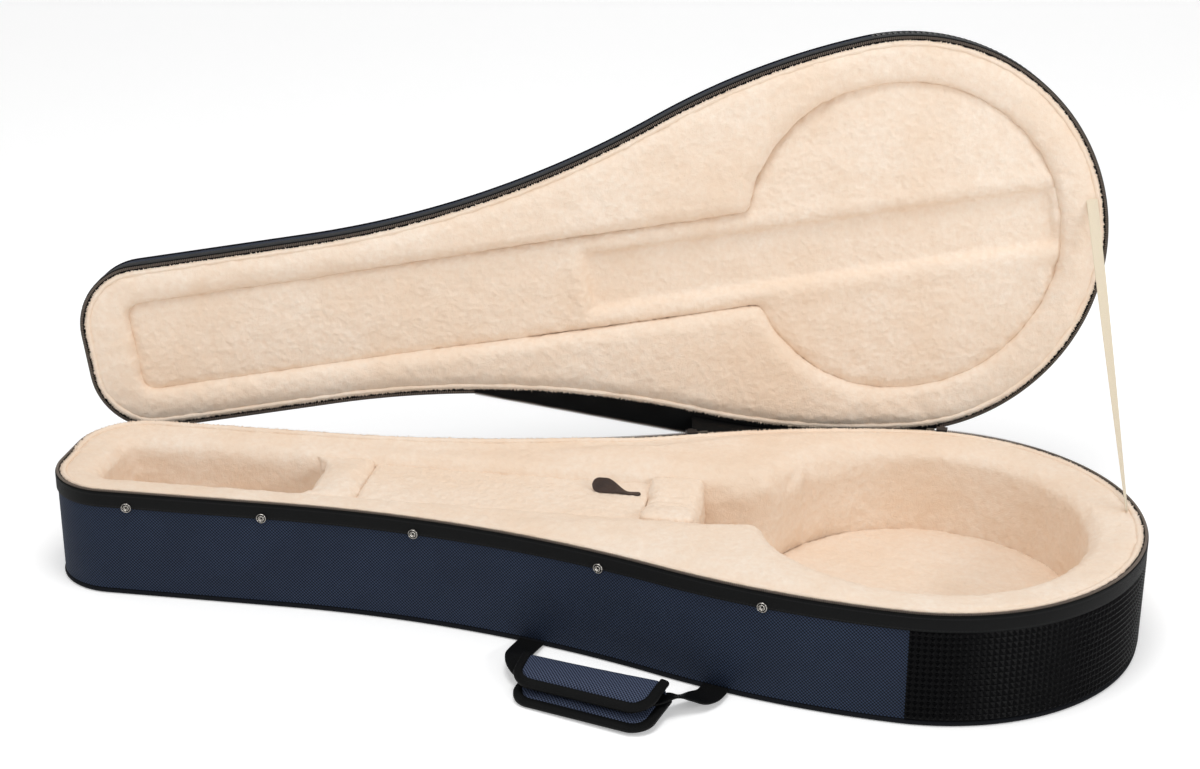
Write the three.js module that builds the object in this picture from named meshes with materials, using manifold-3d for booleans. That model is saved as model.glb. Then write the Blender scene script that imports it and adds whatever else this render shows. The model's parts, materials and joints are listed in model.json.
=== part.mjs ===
import * as THREE from 'three';
import { mergeVertices } from 'three/addons/utils/BufferGeometryUtils.js';
import Module from 'manifold-3d';

// A teardrop banjo case with soft padding, lying open with the lid standing behind it.
// Lengths are millimetres. +X runs along the case to the round heel, +Y to the hinge side,
// +Z up. The origin is on the flat underside, midway along the case.

const wasm = await Module();
wasm.setup();

const deg = THREE.MathUtils.degToRad;

// Clearances
const fit = 0.3;
const overrun = 5;
const mergeDistance = 1e-4;

// Outline of the case, seen from above
const caseLength = 1040;
const heelRadius = 202;
const shoulderRadius = 757;
const shoulderStart = deg(94.2);
const shoulderEnd = deg(111);
const headHalfWidth = 85;
const headCornerRadius = 63;
const heelSteps = 15;
const shoulderSteps = 5;
const waistSteps = 9;
const cornerSteps = 6;
const leastStep = 2;

// Depths of the two shells, measured from the plane where they meet
const baseDepth = 110;
const lidDepth = 41;

// Shell pieces
const wallThickness = 4;
const panelThickness = 3;
const pipingDiameter = 5;
const pipingProud = 1;
const pipingSides = 8;
const tapeThickness = 1;
const bandHeight = 15;
const vinylThickness = 1.2;
const vinylReach = 7;
const coilWidth = 3.4;
const coilHeight = 2.2;
const coilGap = 0.8;
const endTabLength = 8;
const coilProud = 1.1;

// Plush-covered linings
const liningDrop = 0.5;
const outerCrown = 9;
const crownSteps = 3;
const baseSlotHalfWidth = 46;
const baseHeadFrame = 40;
const baseSlotCorner = 14;
const baseWellRadius = 156;
const baseInnerCrown = 11;
const lidSlotHalfWidth = 48.5;
const lidHeadFrame = 45;
const lidSlotCorner = 16;
const lidRecessRadius = 161;
const lidInnerCrown = 6;
const lidRecessDepth = 10;
const lidChannelHalfWidth = 32;
const lidChannelReach = 323;
const lidChannelFromHeel = 48;
const lidChannelDepth = 15;
const lidChannelCorner = 12;
const wellSteps = 28;

// What stands in the long slot of the base, from the head end to the round well
const headWellLength = 215;
const headWellDepth = 72;
const headRestLength = 43;
const headRestDrop = 7;
const headRestFillet = 18;
const headRestTip = 1.5;
const boxWall = 5;
const boxDepth = 106;
const yokeReach = 260.4;
const yokeLength = 47;
const yokeDrop = 3;
const yokeDip = 6;
const yokeDipHalfWidth = 30;
const potWellDepth = 90;
const wellPadCorner = 2;

// Compartment lid and its pull tab
const hatchThickness = 7;
const hatchDrop = 13;
const hatchSideGap = 0.5;
const hatchHingeGap = 1.5;
const tabLength = 48;
const tabNeckWidth = 6;
const tabNeckLength = 15;
const tabWidth = 15;
const tabThickness = 1.4;
const tabInsetFromEnd = 8;
const tabOffsetY = 16;

// Lid hinge and the opening angle in which the stay tape is taut
const hingeDrop = 12.5;
const openAngle = deg(95);
const gussetThickness = 1;
const gussetReach = 228;
const gussetPast = 4;
const gussetOverlap = 4.5;
const webReach = 453;
const webTipReach = 20;
const webThickness = 1.2;
const stayWidth = 11;
const stayThickness = 0.8;
const stayInset = 13.5;
const stayBaseAngle = deg(9.6);
const stayLidAngle = deg(-4.3);
const staySteps = 10;
const stayTwist = deg(75);

// Nickel studs along the front, under the rim tape, at shares of the half length
const studShares = [-0.827, -0.571, -0.285, 0.062, 0.354];
const studDrop = 17;
const studRadius = 4.9;
const studHoleRadius = 1.9;
const studHeight = 2.4;
const studRimHeight = 1.5;
const studSides = 16;

// Carrying handle: webbing sewn in at the bottom seam, with a padded wrap round it
const handleReach = 352;
const handleSpan = 182;
const webbingWidth = 25;
const webbingThickness = 2;
const webbingStart = 1.4;
const webbingLift = 1;
const webbingTuck = 38;
const webbingLead = 10;
const webbingSteps = 9;
const gripLength = 136;
const gripShift = 2;
const gripNear = 52;
const lowerFlapWidth = 52;
const upperFlapWidth = 40;
const lowerFlapThickness = 9.5;
const upperFlapThickness = 12;
const flapCorner = 20;
const flapChamfer = 3;
const bindingWidth = 8;
const bindingThickness = 5;
const foldThickness = 1.2;

// Zipper sliders and their pulls
const sliderLength = 11;
const sliderWall = 1.2;
const sliderOuterWall = 2.4;
const sliderSkirt = 6;
const sliderPlay = 0.7;
const sliderRoof = 1;
const sliderFromEnd = 7;
const coilEndGap = 2;
const bridgeReach = 2.4;
const bridgeHeight = 1.6;
const pullLength = 24;
const pullWidth = 5;
const pullThickness = 1.4;
const pullGap = 0.4;

// Colours
const finishes = {
  cloth: { color: 0x27375c, roughness: 0.75, metalness: 0 },
  panel: { color: 0x1c1f2a, roughness: 0.8, metalness: 0 },
  tape: { color: 0x111113, roughness: 0.7, metalness: 0 },
  vinyl: { color: 0x0c0c0e, roughness: 0.28, metalness: 0 },
  coil: { color: 0x2a2a2c, roughness: 0.45, metalness: 0 },
  plush: { color: 0xf3dfc8, roughness: 0.95, metalness: 0 },
  stay: { color: 0xddd4b0, roughness: 0.8, metalness: 0 },
  leather: { color: 0x3b2c24, roughness: 0.6, metalness: 0 },
  nickel: { color: 0xc4c2bd, roughness: 0.25, metalness: 1 },
  darkMetal: { color: 0x3a3a3d, roughness: 0.35, metalness: 1 },
};

// Geometry helpers

function facingOut(positions, triangles) {
  let volume = 0;
  const a = new THREE.Vector3();
  const b = new THREE.Vector3();
  const c = new THREE.Vector3();
  for (const [i, j, k] of triangles) {
    a.copy(positions[i]);
    b.copy(positions[j]);
    c.copy(positions[k]);
    volume += a.dot(b.cross(c));
  }
  const geometry = new THREE.BufferGeometry();
  geometry.setFromPoints(positions);
  const ordered = volume < 0 ? triangles.map(([i, j, k]) => [i, k, j]) : triangles;
  geometry.setIndex(ordered.flat());
  geometry.computeVertexNormals();
  return geometry;
}

// A tube through rings of equally many points; closed on itself, or with flat ends
function tube(rings, loop) {
  const count = rings[0].length;
  const positions = rings.flat();
  const triangles = [];
  const spans = loop ? rings.length : rings.length - 1;
  for (let i = 0; i < spans; i += 1) {
    const here = i * count;
    const next = ((i + 1) % rings.length) * count;
    for (let j = 0; j < count; j += 1) {
      const k = (j + 1) % count;
      triangles.push([here + j, next + j, next + k], [here + j, next + k, here + k]);
    }
  }
  if (!loop) {
    const last = (rings.length - 1) * count;
    triangles.push(...capTriangles(rings[0]));
    for (const [i, j, k] of capTriangles(rings[rings.length - 1])) {
      triangles.push([last + i, last + k, last + j]);
    }
  }
  return facingOut(positions, triangles);
}

// Triangles of a flat ring, each running the same way round as the ring itself
function capTriangles(ring) {
  const normal = new THREE.Vector3();
  const centre = new THREE.Vector3();
  ring.forEach((p) => centre.add(p));
  centre.divideScalar(ring.length);
  ring.forEach((p, i) => {
    const q = ring[(i + 1) % ring.length];
    const u = new THREE.Vector3().subVectors(p, centre);
    const v = new THREE.Vector3().subVectors(q, centre);
    normal.add(u.cross(v));
  });
  normal.normalize();
  const across = new THREE.Vector3().subVectors(ring[1], ring[0]).normalize();
  const up = new THREE.Vector3().crossVectors(normal, across);
  const flat = ring.map((p) => new THREE.Vector2(p.dot(across), p.dot(up)));
  return THREE.ShapeUtils.triangulateShape(flat, []).map(([i, j, k]) => (
    THREE.ShapeUtils.area([flat[i], flat[j], flat[k]]) < 0 ? [i, k, j] : [i, j, k]));
}

// A solid through outlines stacked in Z
function loft(layers) {
  const rings = layers.map(({ outline, z }) => outline.map((p) => new THREE.Vector3(p.x, p.y, z)));
  return tube(rings, false);
}

function solidOf(geometry) {
  const bare = new THREE.BufferGeometry();
  bare.setAttribute('position', geometry.getAttribute('position').clone());
  if (geometry.index) bare.setIndex(geometry.index.clone());
  const merged = mergeVertices(bare, mergeDistance);
  const vertProperties = new Float32Array(merged.getAttribute('position').array);
  const triVerts = new Uint32Array(merged.index.array);
  return new wasm.Manifold(new wasm.Mesh({ numProp: 3, vertProperties, triVerts }));
}

function geometryOf(solid) {
  const mesh = solid.getMesh();
  const geometry = new THREE.BufferGeometry();
  geometry.setAttribute('position', new THREE.BufferAttribute(mesh.vertProperties, 3));
  geometry.setIndex(new THREE.BufferAttribute(mesh.triVerts, 1));
  geometry.computeVertexNormals();
  return geometry;
}

function cut(geometry, tools) {
  return geometryOf(tools.reduce((solid, tool) => solid.subtract(solidOf(tool)), solidOf(geometry)));
}

function box(x0, x1, y0, y1, z0, z1) {
  const geometry = new THREE.BoxGeometry(x1 - x0, y1 - y0, z1 - z0);
  geometry.translate((x0 + x1) / 2, (y0 + y1) / 2, (z0 + z1) / 2);
  return geometry;
}

function mesh(name, geometry, finish) {
  const part = new THREE.Mesh(geometry, new THREE.MeshStandardMaterial(finishes[finish]));
  part.name = name;
  return part;
}

// Outline of the case as arcs of its back half. A station is a place on the outline: its
// point for an inset measured inwards along the normal, and the angle of its outward normal.

const heelEndX = caseLength / 2;
const heelX = heelEndX - heelRadius;
const gussetStartX = heelX - gussetReach;
const gussetEndX = heelX + gussetPast;
const vinylStartX = heelX - vinylReach;
const webStartX = heelX - webReach;
const baseSlotEndX = baseHeadFrame - heelEndX;
const lidSlotEndX = lidHeadFrame - heelEndX;
const headWellEndX = baseSlotEndX + headWellLength;
const heelArc = { x: heelX, y: 0, radius: heelRadius, concave: false };
const shoulderArc = {
  x: heelX - (shoulderRadius - heelRadius) * Math.cos(shoulderStart),
  y: -(shoulderRadius - heelRadius) * Math.sin(shoulderStart),
  radius: shoulderRadius,
  concave: false,
};
const shoulderEndY = shoulderArc.y + shoulderRadius * Math.sin(shoulderEnd);
const shoulderEndX = shoulderArc.x + shoulderRadius * Math.cos(shoulderEnd);
const waistRadius = (shoulderEndY - headHalfWidth) / (1 - Math.sin(shoulderEnd));
const waistArc = {
  x: shoulderEndX + waistRadius * Math.cos(shoulderEnd),
  y: shoulderEndY + waistRadius * Math.sin(shoulderEnd),
  radius: waistRadius,
  concave: true,
};
const cornerArc = {
  x: -caseLength / 2 + headCornerRadius,
  y: headHalfWidth - headCornerRadius,
  radius: headCornerRadius,
  concave: false,
};
const waistFrom = shoulderEnd + Math.PI;
const waistTo = Math.PI * 1.5;

// side is 1 on the back half and -1 on the front half
function station(arc, angle, side) {
  const outward = arc.concave ? angle + Math.PI : angle;
  return {
    normal: side * outward,
    at(inset) {
      const radius = arc.concave ? arc.radius + inset : arc.radius - inset;
      const x = arc.x + radius * Math.cos(angle);
      return new THREE.Vector2(x, side * (arc.y + radius * Math.sin(angle)));
    },
  };
}

function stationAtHeel(angle) {
  return station(heelArc, Math.abs(angle), Math.sign(angle));
}

function run(arc, side, from, to, steps) {
  const list = [];
  for (let i = 0; i <= steps; i += 1) {
    list.push(station(arc, from + ((to - from) * i) / steps, side));
  }
  return list;
}

// The station at a place along the case, on the heel, the shoulder, the waist or the straight head
function stationAtX(x, side) {
  if (x > heelX + heelRadius * Math.cos(shoulderStart)) {
    return station(heelArc, Math.acos((x - heelX) / heelRadius), side);
  }
  if (x > shoulderEndX) {
    return station(shoulderArc, Math.acos((x - shoulderArc.x) / shoulderRadius), side);
  }
  if (x > waistArc.x) {
    return station(waistArc, 2 * Math.PI - Math.acos((x - waistArc.x) / waistRadius), side);
  }
  return {
    normal: (side * Math.PI) / 2,
    at: (inset) => new THREE.Vector2(x, side * (headHalfWidth - inset)),
  };
}

// Half of the outline, from the heel to the head end
function halfRuns(side) {
  return [
    run(heelArc, side, 0, shoulderStart, heelSteps),
    run(shoulderArc, side, shoulderStart, shoulderEnd, shoulderSteps).slice(1),
    run(waistArc, side, waistFrom, waistTo, waistSteps).slice(1),
    run(cornerArc, side, Math.PI / 2, Math.PI, cornerSteps),
  ];
}

const backHalf = halfRuns(1).flat();
const frontHalf = halfRuns(-1).flat();
const allRound = [...backHalf, ...frontHalf.slice(1).reverse()];

// Stations of one half from a place x0 to a place x1 nearer the head, shared with the outline
function stretch(x0, x1, side) {
  const first = stationAtX(x0, side);
  const last = stationAtX(x1, side);
  const between = (side > 0 ? backHalf : frontHalf).filter((place) => {
    const p = place.at(0);
    const clear = Math.min(p.distanceTo(first.at(0)), p.distanceTo(last.at(0)));
    return p.x < x0 && p.x > x1 && clear > leastStep;
  });
  return [first, ...between, last];
}

function outline(inset) {
  return allRound.map((place) => place.at(inset));
}

// A piece of constant section along the outline; the section is a list of [inset, z]
function sweep(stations, section, loop) {
  const rings = stations.map((place) => section.map(([inset, z]) => {
    const p = place.at(inset);
    return new THREE.Vector3(p.x, p.y, z);
  }));
  return tube(rings, loop);
}

// Hinge line: the common tangent of the head corner and the shoulder, on the back
const tangentX = shoulderArc.x - cornerArc.x;
const tangentY = shoulderArc.y - cornerArc.y;
const tangentReach = Math.hypot(tangentX, tangentY);
const hingeAngle = Math.atan2(tangentY, tangentX)
  + Math.asin((shoulderRadius - headCornerRadius) / tangentReach);
const hingeY = (Math.cos(hingeAngle) * shoulderArc.y - Math.sin(hingeAngle) * shoulderArc.x
  + shoulderRadius) / Math.cos(hingeAngle);
const rimZ = baseDepth;
const hingePoint = new THREE.Vector3(0, hingeY, rimZ - hingeDrop);
const hingeAxis = new THREE.Vector3(Math.cos(hingeAngle), Math.sin(hingeAngle), 0);
const openTurn = new THREE.Quaternion().setFromAxisAngle(hingeAxis, -openAngle);

// Where a point of the closed lid goes when the lid stands open
function opened(point) {
  return point.clone().sub(hingePoint).applyQuaternion(openTurn).add(hingePoint);
}

// One shell: level turns a depth below the rim plane into a height
function shell(prefix, depth, level, coilStations) {
  const wallTop = coilGap + coilHeight + fit;
  const wallFoot = depth - pipingDiameter - fit;
  const tapeOut = fit + tapeThickness;
  const bandFoot = wallTop + bandHeight;
  const vinylTop = bandFoot + fit;
  const round = (points) => points.map(([inset, h]) => [inset, level(h)]);
  const rect = (in0, in1, h0, h1) => round([[in0, h0], [in1, h0], [in1, h1], [in0, h1]]);
  const wallSection = rect(0, wallThickness, wallTop, wallFoot);
  const coilSection = rect(-coilProud, coilWidth - coilProud, coilGap, coilGap + coilHeight);
  const pipingR = pipingDiameter / 2;
  const pipingSection = [];
  for (let i = 0; i < pipingSides; i += 1) {
    const a = ((i + 0.5) / pipingSides) * 2 * Math.PI;
    const flat = pipingR / Math.cos(Math.PI / pipingSides);
    const inset = pipingR - pipingProud + flat * Math.cos(a);
    pipingSection.push([inset, depth - pipingR + flat * Math.sin(a)]);
  }
  const panelInset = pipingDiameter - pipingProud + fit;
  const panelLayers = [
    { outline: outline(panelInset), z: level(depth) },
    { outline: outline(panelInset), z: level(depth - panelThickness) },
  ];
  const vinylStations = [
    ...stretch(heelEndX, vinylStartX, -1).reverse(),
    ...stretch(heelEndX, vinylStartX, 1).slice(1),
  ];
  return [
    mesh(`${prefix}_outer_panel`, loft(panelLayers), 'panel'),
    mesh(`${prefix}_edge_piping`, sweep(allRound, round(pipingSection), true), 'tape'),
    mesh(`${prefix}_side_wall`, sweep(allRound, wallSection, true), 'cloth'),
    mesh(`${prefix}_rim_tape`, sweep(allRound, rect(-tapeOut, -fit, wallTop, bandFoot), true), 'tape'),
    mesh(
      `${prefix}_heel_patch`,
      sweep(vinylStations, rect(-fit - vinylThickness, -fit, vinylTop, wallFoot - fit), false),
      'vinyl',
    ),
    mesh(`${prefix}_zipper_coil`, sweep(coilStations, coilSection, false), 'coil'),
  ];
}

// The opening of a lining: a long slot that runs into a round well at the heel
function keyhole({ radius, halfWidth, endX, corner }, grow) {
  const r = radius + grow;
  const half = halfWidth + grow;
  const left = endX - grow;
  const rc = Math.max(corner + grow, mergeDistance);
  const mouth = Math.asin(half / r);
  const points = [];
  for (let i = 0; i <= wellSteps; i += 1) {
    const a = -(Math.PI - mouth) + (i / wellSteps) * 2 * (Math.PI - mouth);
    points.push(new THREE.Vector2(heelX + r * Math.cos(a), r * Math.sin(a)));
  }
  for (const [sy, from] of [[1, Math.PI / 2], [-1, Math.PI]]) {
    for (let i = 0; i <= cornerSteps; i += 1) {
      const a = from + ((Math.PI / 2) * i) / cornerSteps;
      points.push(new THREE.Vector2(left + rc + rc * Math.cos(a), sy * (half - rc) + rc * Math.sin(a)));
    }
  }
  return points;
}

function roundedRectangle(x0, x1, halfWidth, corner) {
  const points = [];
  const corners = [
    [x1 - corner, halfWidth - corner, 0],
    [x0 + corner, halfWidth - corner, 1],
    [x0 + corner, corner - halfWidth, 2],
    [x1 - corner, corner - halfWidth, 3],
  ];
  for (const [cx, cy, quarter] of corners) {
    for (let i = 0; i <= cornerSteps; i += 1) {
      const a = (Math.PI / 2) * (quarter + i / cornerSteps);
      points.push(new THREE.Vector2(cx + corner * Math.cos(a), cy + corner * Math.sin(a)));
    }
  }
  return points;
}

// The padded frame that lines a shell: rounded over at its outer and inner edges
function surround(prefix, depth, level, hole, innerCrown) {
  const outer = wallThickness + fit;
  const foot = depth - panelThickness - fit;
  const body = [{ outline: outline(outer), z: level(foot) }];
  const tool = [{ outline: keyhole(hole, 0), z: level(foot + overrun) }];
  for (let i = 0; i <= crownSteps; i += 1) {
    const a = ((Math.PI / 2) * i) / crownSteps;
    const out = 1 - Math.cos(a);
    const up = 1 - Math.sin(a);
    body.push({ outline: outline(outer + outerCrown * out), z: level(liningDrop + outerCrown * up) });
    tool.push({ outline: keyhole(hole, innerCrown * out), z: level(liningDrop + innerCrown * up) });
  }
  tool.push({ outline: keyhole(hole, innerCrown), z: level(liningDrop - overrun) });
  return mesh(`${prefix}_lining_frame`, cut(loft(body), [loft(tool)]), 'plush');
}

const baseLevel = (h) => rimZ - h;
const lidLevel = (h) => rimZ + h;
const baseHole = {
  radius: baseWellRadius, halfWidth: baseSlotHalfWidth, endX: baseSlotEndX, corner: baseSlotCorner,
};
const lidHole = {
  radius: lidRecessRadius, halfWidth: lidSlotHalfWidth, endX: lidSlotEndX, corner: lidSlotCorner,
};
const liningFootZ = baseLevel(baseDepth - panelThickness - fit);

// The zipper runs from the heel end of the hinge, round the front and the head, to its waist end
const coilHeelX = gussetEndX + coilEndGap;
const coilWaistX = gussetStartX - coilEndGap;
const coilRun = (lastX) => [
  ...stretch(heelEndX, coilHeelX, 1).reverse(),
  ...frontHalf.slice(1),
  ...run(cornerArc, 1, Math.PI, Math.PI / 2, cornerSteps).slice(1, -1),
  ...stretch(lastX, cornerArc.x, 1).reverse(),
];

function buildBase() {
  const group = new THREE.Group();
  group.add(...shell('base', baseDepth, baseLevel, coilRun(coilWaistX)));
  group.add(surround('base', baseDepth, baseLevel, baseHole, baseInnerCrown));
  group.add(headWellPad(), headRestBlock(), accessoryBox(), yokeBlock(), potWellPad());
  group.add(endTab('heel', coilHeelX - fit, coilHeelX - fit - endTabLength));
  group.add(endTab('waist', coilWaistX + fit + endTabLength, coilWaistX + fit));
  studShares.forEach((share, i) => group.add(stud(share * heelEndX, i + 1)));
  return group;
}

// A scrap of tape folded over the end of the zipper coil
function endTab(name, x0, x1) {
  const tuck = coilProud - coilWidth;
  const section = [
    [-coilProud, baseLevel(coilGap)], [-tuck, baseLevel(coilGap)],
    [-tuck, baseLevel(coilGap + coilHeight)], [-coilProud, baseLevel(coilGap + coilHeight)],
  ];
  return mesh(`zipper_end_tab_${name}`, sweep(stretch(x0, x1, 1), section, false), 'panel');
}

function headWellPad() {
  const points = roundedRectangle(baseSlotEndX + fit, headWellEndX - fit, baseSlotHalfWidth - fit,
    baseSlotCorner - fit);
  const layers = [
    { outline: points, z: liningFootZ },
    { outline: points, z: baseLevel(headWellDepth) },
  ];
  return mesh('head_well_pad', cut(loft(layers), [headRestShape(fit)]), 'plush');
}

const headRestEndX = headWellEndX + headRestLength;

// The rest beside the head well, with its two front corners swept into the side walls
function headRestShape(grow) {
  const half = baseSlotHalfWidth - fit;
  const r = headRestFillet - grow;
  const cx = headWellEndX - headRestFillet;
  const cy = half - headRestTip - headRestFillet;
  const shape = new THREE.Shape();
  shape.moveTo(headRestEndX, -half - grow);
  shape.lineTo(headRestEndX, half + grow);
  shape.lineTo(cx - grow, half + grow);
  shape.lineTo(cx - grow, cy + r);
  shape.absarc(cx, cy, r, Math.PI / 2, 0, true);
  shape.lineTo(cx + r, -cy);
  shape.absarc(cx, -cy, r, 0, -Math.PI / 2, true);
  shape.lineTo(cx - grow, -cy - r);
  shape.lineTo(cx - grow, -half - grow);
  shape.closePath();
  const top = baseLevel(headRestDrop);
  const geometry = new THREE.ExtrudeGeometry(shape, {
    depth: top - liningFootZ, bevelEnabled: false, curveSegments: cornerSteps,
  });
  geometry.translate(0, 0, liningFootZ);
  return geometry;
}

function headRestBlock() {
  return mesh('head_rest_block', headRestShape(0), 'plush');
}

const yokeStartX = heelX - yokeReach;
const yokeEndX = yokeStartX + yokeLength;
const boxStartX = headRestEndX + fit;
const boxEndX = yokeStartX - fit;
const hatchTopZ = baseLevel(hatchDrop);
const boxTopZ = hatchTopZ - hatchThickness - fit;

function accessoryBox() {
  const half = baseSlotHalfWidth - fit;
  const floorZ = baseLevel(boxDepth) + boxWall;
  const outer = box(boxStartX, boxEndX, -half, half, liningFootZ, boxTopZ);
  const inner = box(boxStartX + boxWall, boxEndX - boxWall, boxWall - half, half - boxWall,
    floorZ, boxTopZ + overrun);
  return mesh('accessory_box', cut(outer, [inner]), 'plush');
}

// The saddle at the mouth of the round well: a block with a shallow dip across its top
function yokeBlock() {
  const half = baseSlotHalfWidth - fit;
  const top = baseLevel(yokeDrop);
  const shape = new THREE.Shape();
  shape.moveTo(-half, liningFootZ);
  shape.lineTo(half, liningFootZ);
  shape.lineTo(half, top);
  shape.lineTo(yokeDipHalfWidth, top);
  shape.quadraticCurveTo(0, top - 2 * yokeDip, -yokeDipHalfWidth, top);
  shape.lineTo(-half, top);
  shape.closePath();
  const geometry = new THREE.ExtrudeGeometry(shape, {
    depth: yokeLength, bevelEnabled: false, curveSegments: 2 * cornerSteps,
  });
  geometry.rotateX(Math.PI / 2);
  geometry.rotateZ(Math.PI / 2);
  geometry.translate(yokeStartX, 0, 0);
  return mesh('yoke_block', geometry, 'plush');
}

function potWellPad() {
  const pad = keyhole({ ...baseHole, endX: yokeEndX, corner: wellPadCorner }, -fit);
  const layers = [{ outline: pad, z: liningFootZ }, { outline: pad, z: baseLevel(potWellDepth) }];
  return mesh('pot_well_pad', loft(layers), 'plush');
}

function stud(x, number) {
  const place = stationAtX(x, -1);
  const profile = [
    [studHoleRadius, 0],
    [studRadius, 0],
    [studRadius, studRimHeight],
    [(studRadius + studHoleRadius) / 2, studHeight],
    [studHoleRadius, studRimHeight],
    [studHoleRadius, 0],
  ].map(([r, y]) => new THREE.Vector2(r, y));
  const geometry = new THREE.LatheGeometry(profile, studSides);
  const part = mesh(`rim_stud_${number}`, geometry, 'nickel');
  const p = place.at(-(tapeThickness + 2 * fit));
  part.position.set(p.x, p.y, baseLevel(studDrop));
  part.rotation.z = place.normal - Math.PI / 2;
  return part;
}

// Lid over the accessory box, hinged at its head end
const hatchStartX = headRestEndX + hatchHingeGap;
const hatchEndX = boxEndX - hatchSideGap;

function buildHatch() {
  const half = baseSlotHalfWidth - hatchSideGap;
  const group = new THREE.Group();
  group.add(mesh('compartment_lid', box(hatchStartX, hatchEndX, -half, half,
    hatchTopZ - hatchThickness, hatchTopZ), 'plush'));
  return group;
}

function buildPullTab() {
  const neck = tabNeckWidth / 2;
  const r = tabWidth / 2;
  const shape = new THREE.Shape();
  shape.moveTo(0, -neck);
  shape.lineTo(0, neck);
  shape.lineTo(-tabNeckLength, neck);
  shape.quadraticCurveTo(-(tabNeckLength + r), r, r - tabLength, r);
  shape.absarc(r - tabLength, 0, r, Math.PI / 2, Math.PI * 1.5, false);
  shape.quadraticCurveTo(-(tabNeckLength + r), -r, -tabNeckLength, -neck);
  shape.closePath();
  const geometry = new THREE.ExtrudeGeometry(shape, {
    depth: tabThickness, bevelEnabled: false, curveSegments: cornerSteps,
  });
  const part = mesh('pull_tab', geometry, 'leather');
  part.position.set(hatchEndX - tabInsetFromEnd, tabOffsetY, hatchTopZ + fit);
  return part;
}

// Lid, modelled closed and turned open about the hinge line
function buildLid() {
  const closed = new THREE.Group();
  closed.position.copy(hingePoint).negate();
  closed.add(...shell('lid', lidDepth, lidLevel, coilRun(webStartX)));
  closed.add(surround('lid', lidDepth, lidLevel, lidHole, lidInnerCrown));
  closed.add(lidFloorPad(), zipperWeb());
  const pivot = new THREE.Group();
  pivot.position.copy(hingePoint);
  pivot.quaternion.copy(openTurn);
  pivot.add(closed);
  return pivot;
}

function lidFloorPad() {
  const points = keyhole(lidHole, -fit);
  const foot = lidLevel(lidDepth - panelThickness - fit);
  const pad = loft([{ outline: points, z: foot }, { outline: points, z: lidLevel(lidRecessDepth) }]);
  const channel = roundedRectangle(heelX - lidChannelReach, heelEndX - lidChannelFromHeel,
    lidChannelHalfWidth, lidChannelCorner);
  const tool = loft([
    { outline: channel, z: lidLevel(lidChannelDepth) },
    { outline: channel, z: lidLevel(lidRecessDepth) - overrun },
  ]);
  return mesh('lid_floor_pad', cut(pad, [tool]), 'plush');
}

// The lid's zipper tape, drawn straight across the hollow of the waist by the end of the zipper
function zipperWeb() {
  const top = lidLevel(coilGap + coilHeight);
  const start = stationAtX(webStartX, 1).at(-tapeThickness);
  const tip = stationAtX(gussetStartX, 1).at(-webTipReach);
  const rings = stretch(gussetStartX, webStartX, 1).map((place) => {
    const share = (place.at(0).x - webStartX) / (gussetStartX - webStartX);
    const outer = start.clone().lerp(tip, share);
    const inner = place.at(wallThickness - tapeThickness);
    return [inner, outer].flatMap((p, side) => {
      const pair = [top, top - webThickness].map((z) => new THREE.Vector3(p.x, p.y, z));
      return side ? pair.reverse() : pair;
    });
  });
  return mesh('zipper_web', tube(rings, false), 'tape');
}

// Cloth hinge along the shoulder: from the lid's rim, across to the base's rim tape
function hingeGusset() {
  const top = lidLevel(coilGap + coilHeight);
  const out = tapeThickness + 2 * fit;
  const rings = stretch(gussetEndX, gussetStartX + fit, 1).map((place) => {
    const inner = place.at(wallThickness - tapeThickness);
    const lip = place.at(-out);
    const far = place.at(-out - gussetThickness);
    const z = rimZ - hingeDrop;
    return [
      opened(new THREE.Vector3(inner.x, inner.y, top)),
      opened(new THREE.Vector3(far.x, far.y, top)),
      new THREE.Vector3(far.x, far.y, z),
      new THREE.Vector3(far.x, far.y, z - gussetOverlap),
      new THREE.Vector3(lip.x, lip.y, z - gussetOverlap),
      new THREE.Vector3(lip.x, lip.y, z + gussetThickness),
      opened(new THREE.Vector3(lip.x, lip.y, top - gussetThickness)),
      opened(new THREE.Vector3(inner.x, inner.y, top - gussetThickness)),
    ];
  });
  return mesh('hinge_gusset', tube(rings, false), 'tape');
}

// Stay tape from the heel rim of the base to the heel rim of the lid, given a part turn;
// each end is cut parallel to the lining that it is sewn to
function stayTape() {
  const foot = stationAtHeel(stayBaseAngle).at(stayInset);
  const head = stationAtHeel(stayLidAngle).at(stayInset);
  const from = new THREE.Vector3(foot.x, foot.y, baseLevel(liningDrop - fit));
  const to = opened(new THREE.Vector3(head.x, head.y, lidLevel(liningDrop - fit)));
  const up = new THREE.Vector3(0, 0, 1);
  const planes = [
    new THREE.Plane().setFromNormalAndCoplanarPoint(up, from),
    new THREE.Plane().setFromNormalAndCoplanarPoint(up.clone().applyQuaternion(openTurn), to),
  ];
  const along = new THREE.Vector3().subVectors(to, from).normalize();
  const wide = new THREE.Vector3(1, 0, 0).projectOnPlane(along).normalize();
  const rings = [];
  for (let i = 0; i <= staySteps; i += 1) {
    const share = i / staySteps;
    const centre = from.clone().lerp(to, share);
    const across = wide.clone().applyAxisAngle(along, stayTwist * (1 - share));
    const through = new THREE.Vector3().crossVectors(along, across);
    const plane = planes[i / staySteps];
    const halves = [[1, 1], [-1, 1], [-1, -1], [1, -1]];
    rings.push(halves.map(([w, t]) => {
      const p = centre.clone()
        .addScaledVector(across, (w * stayWidth) / 2)
        .addScaledVector(through, (t * stayThickness) / 2);
      return plane ? p.addScaledVector(along, -plane.distanceToPoint(p) / plane.normal.dot(along)) : p;
    }));
  }
  return mesh('stay_tape', tube(rings, false), 'stay');
}

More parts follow.
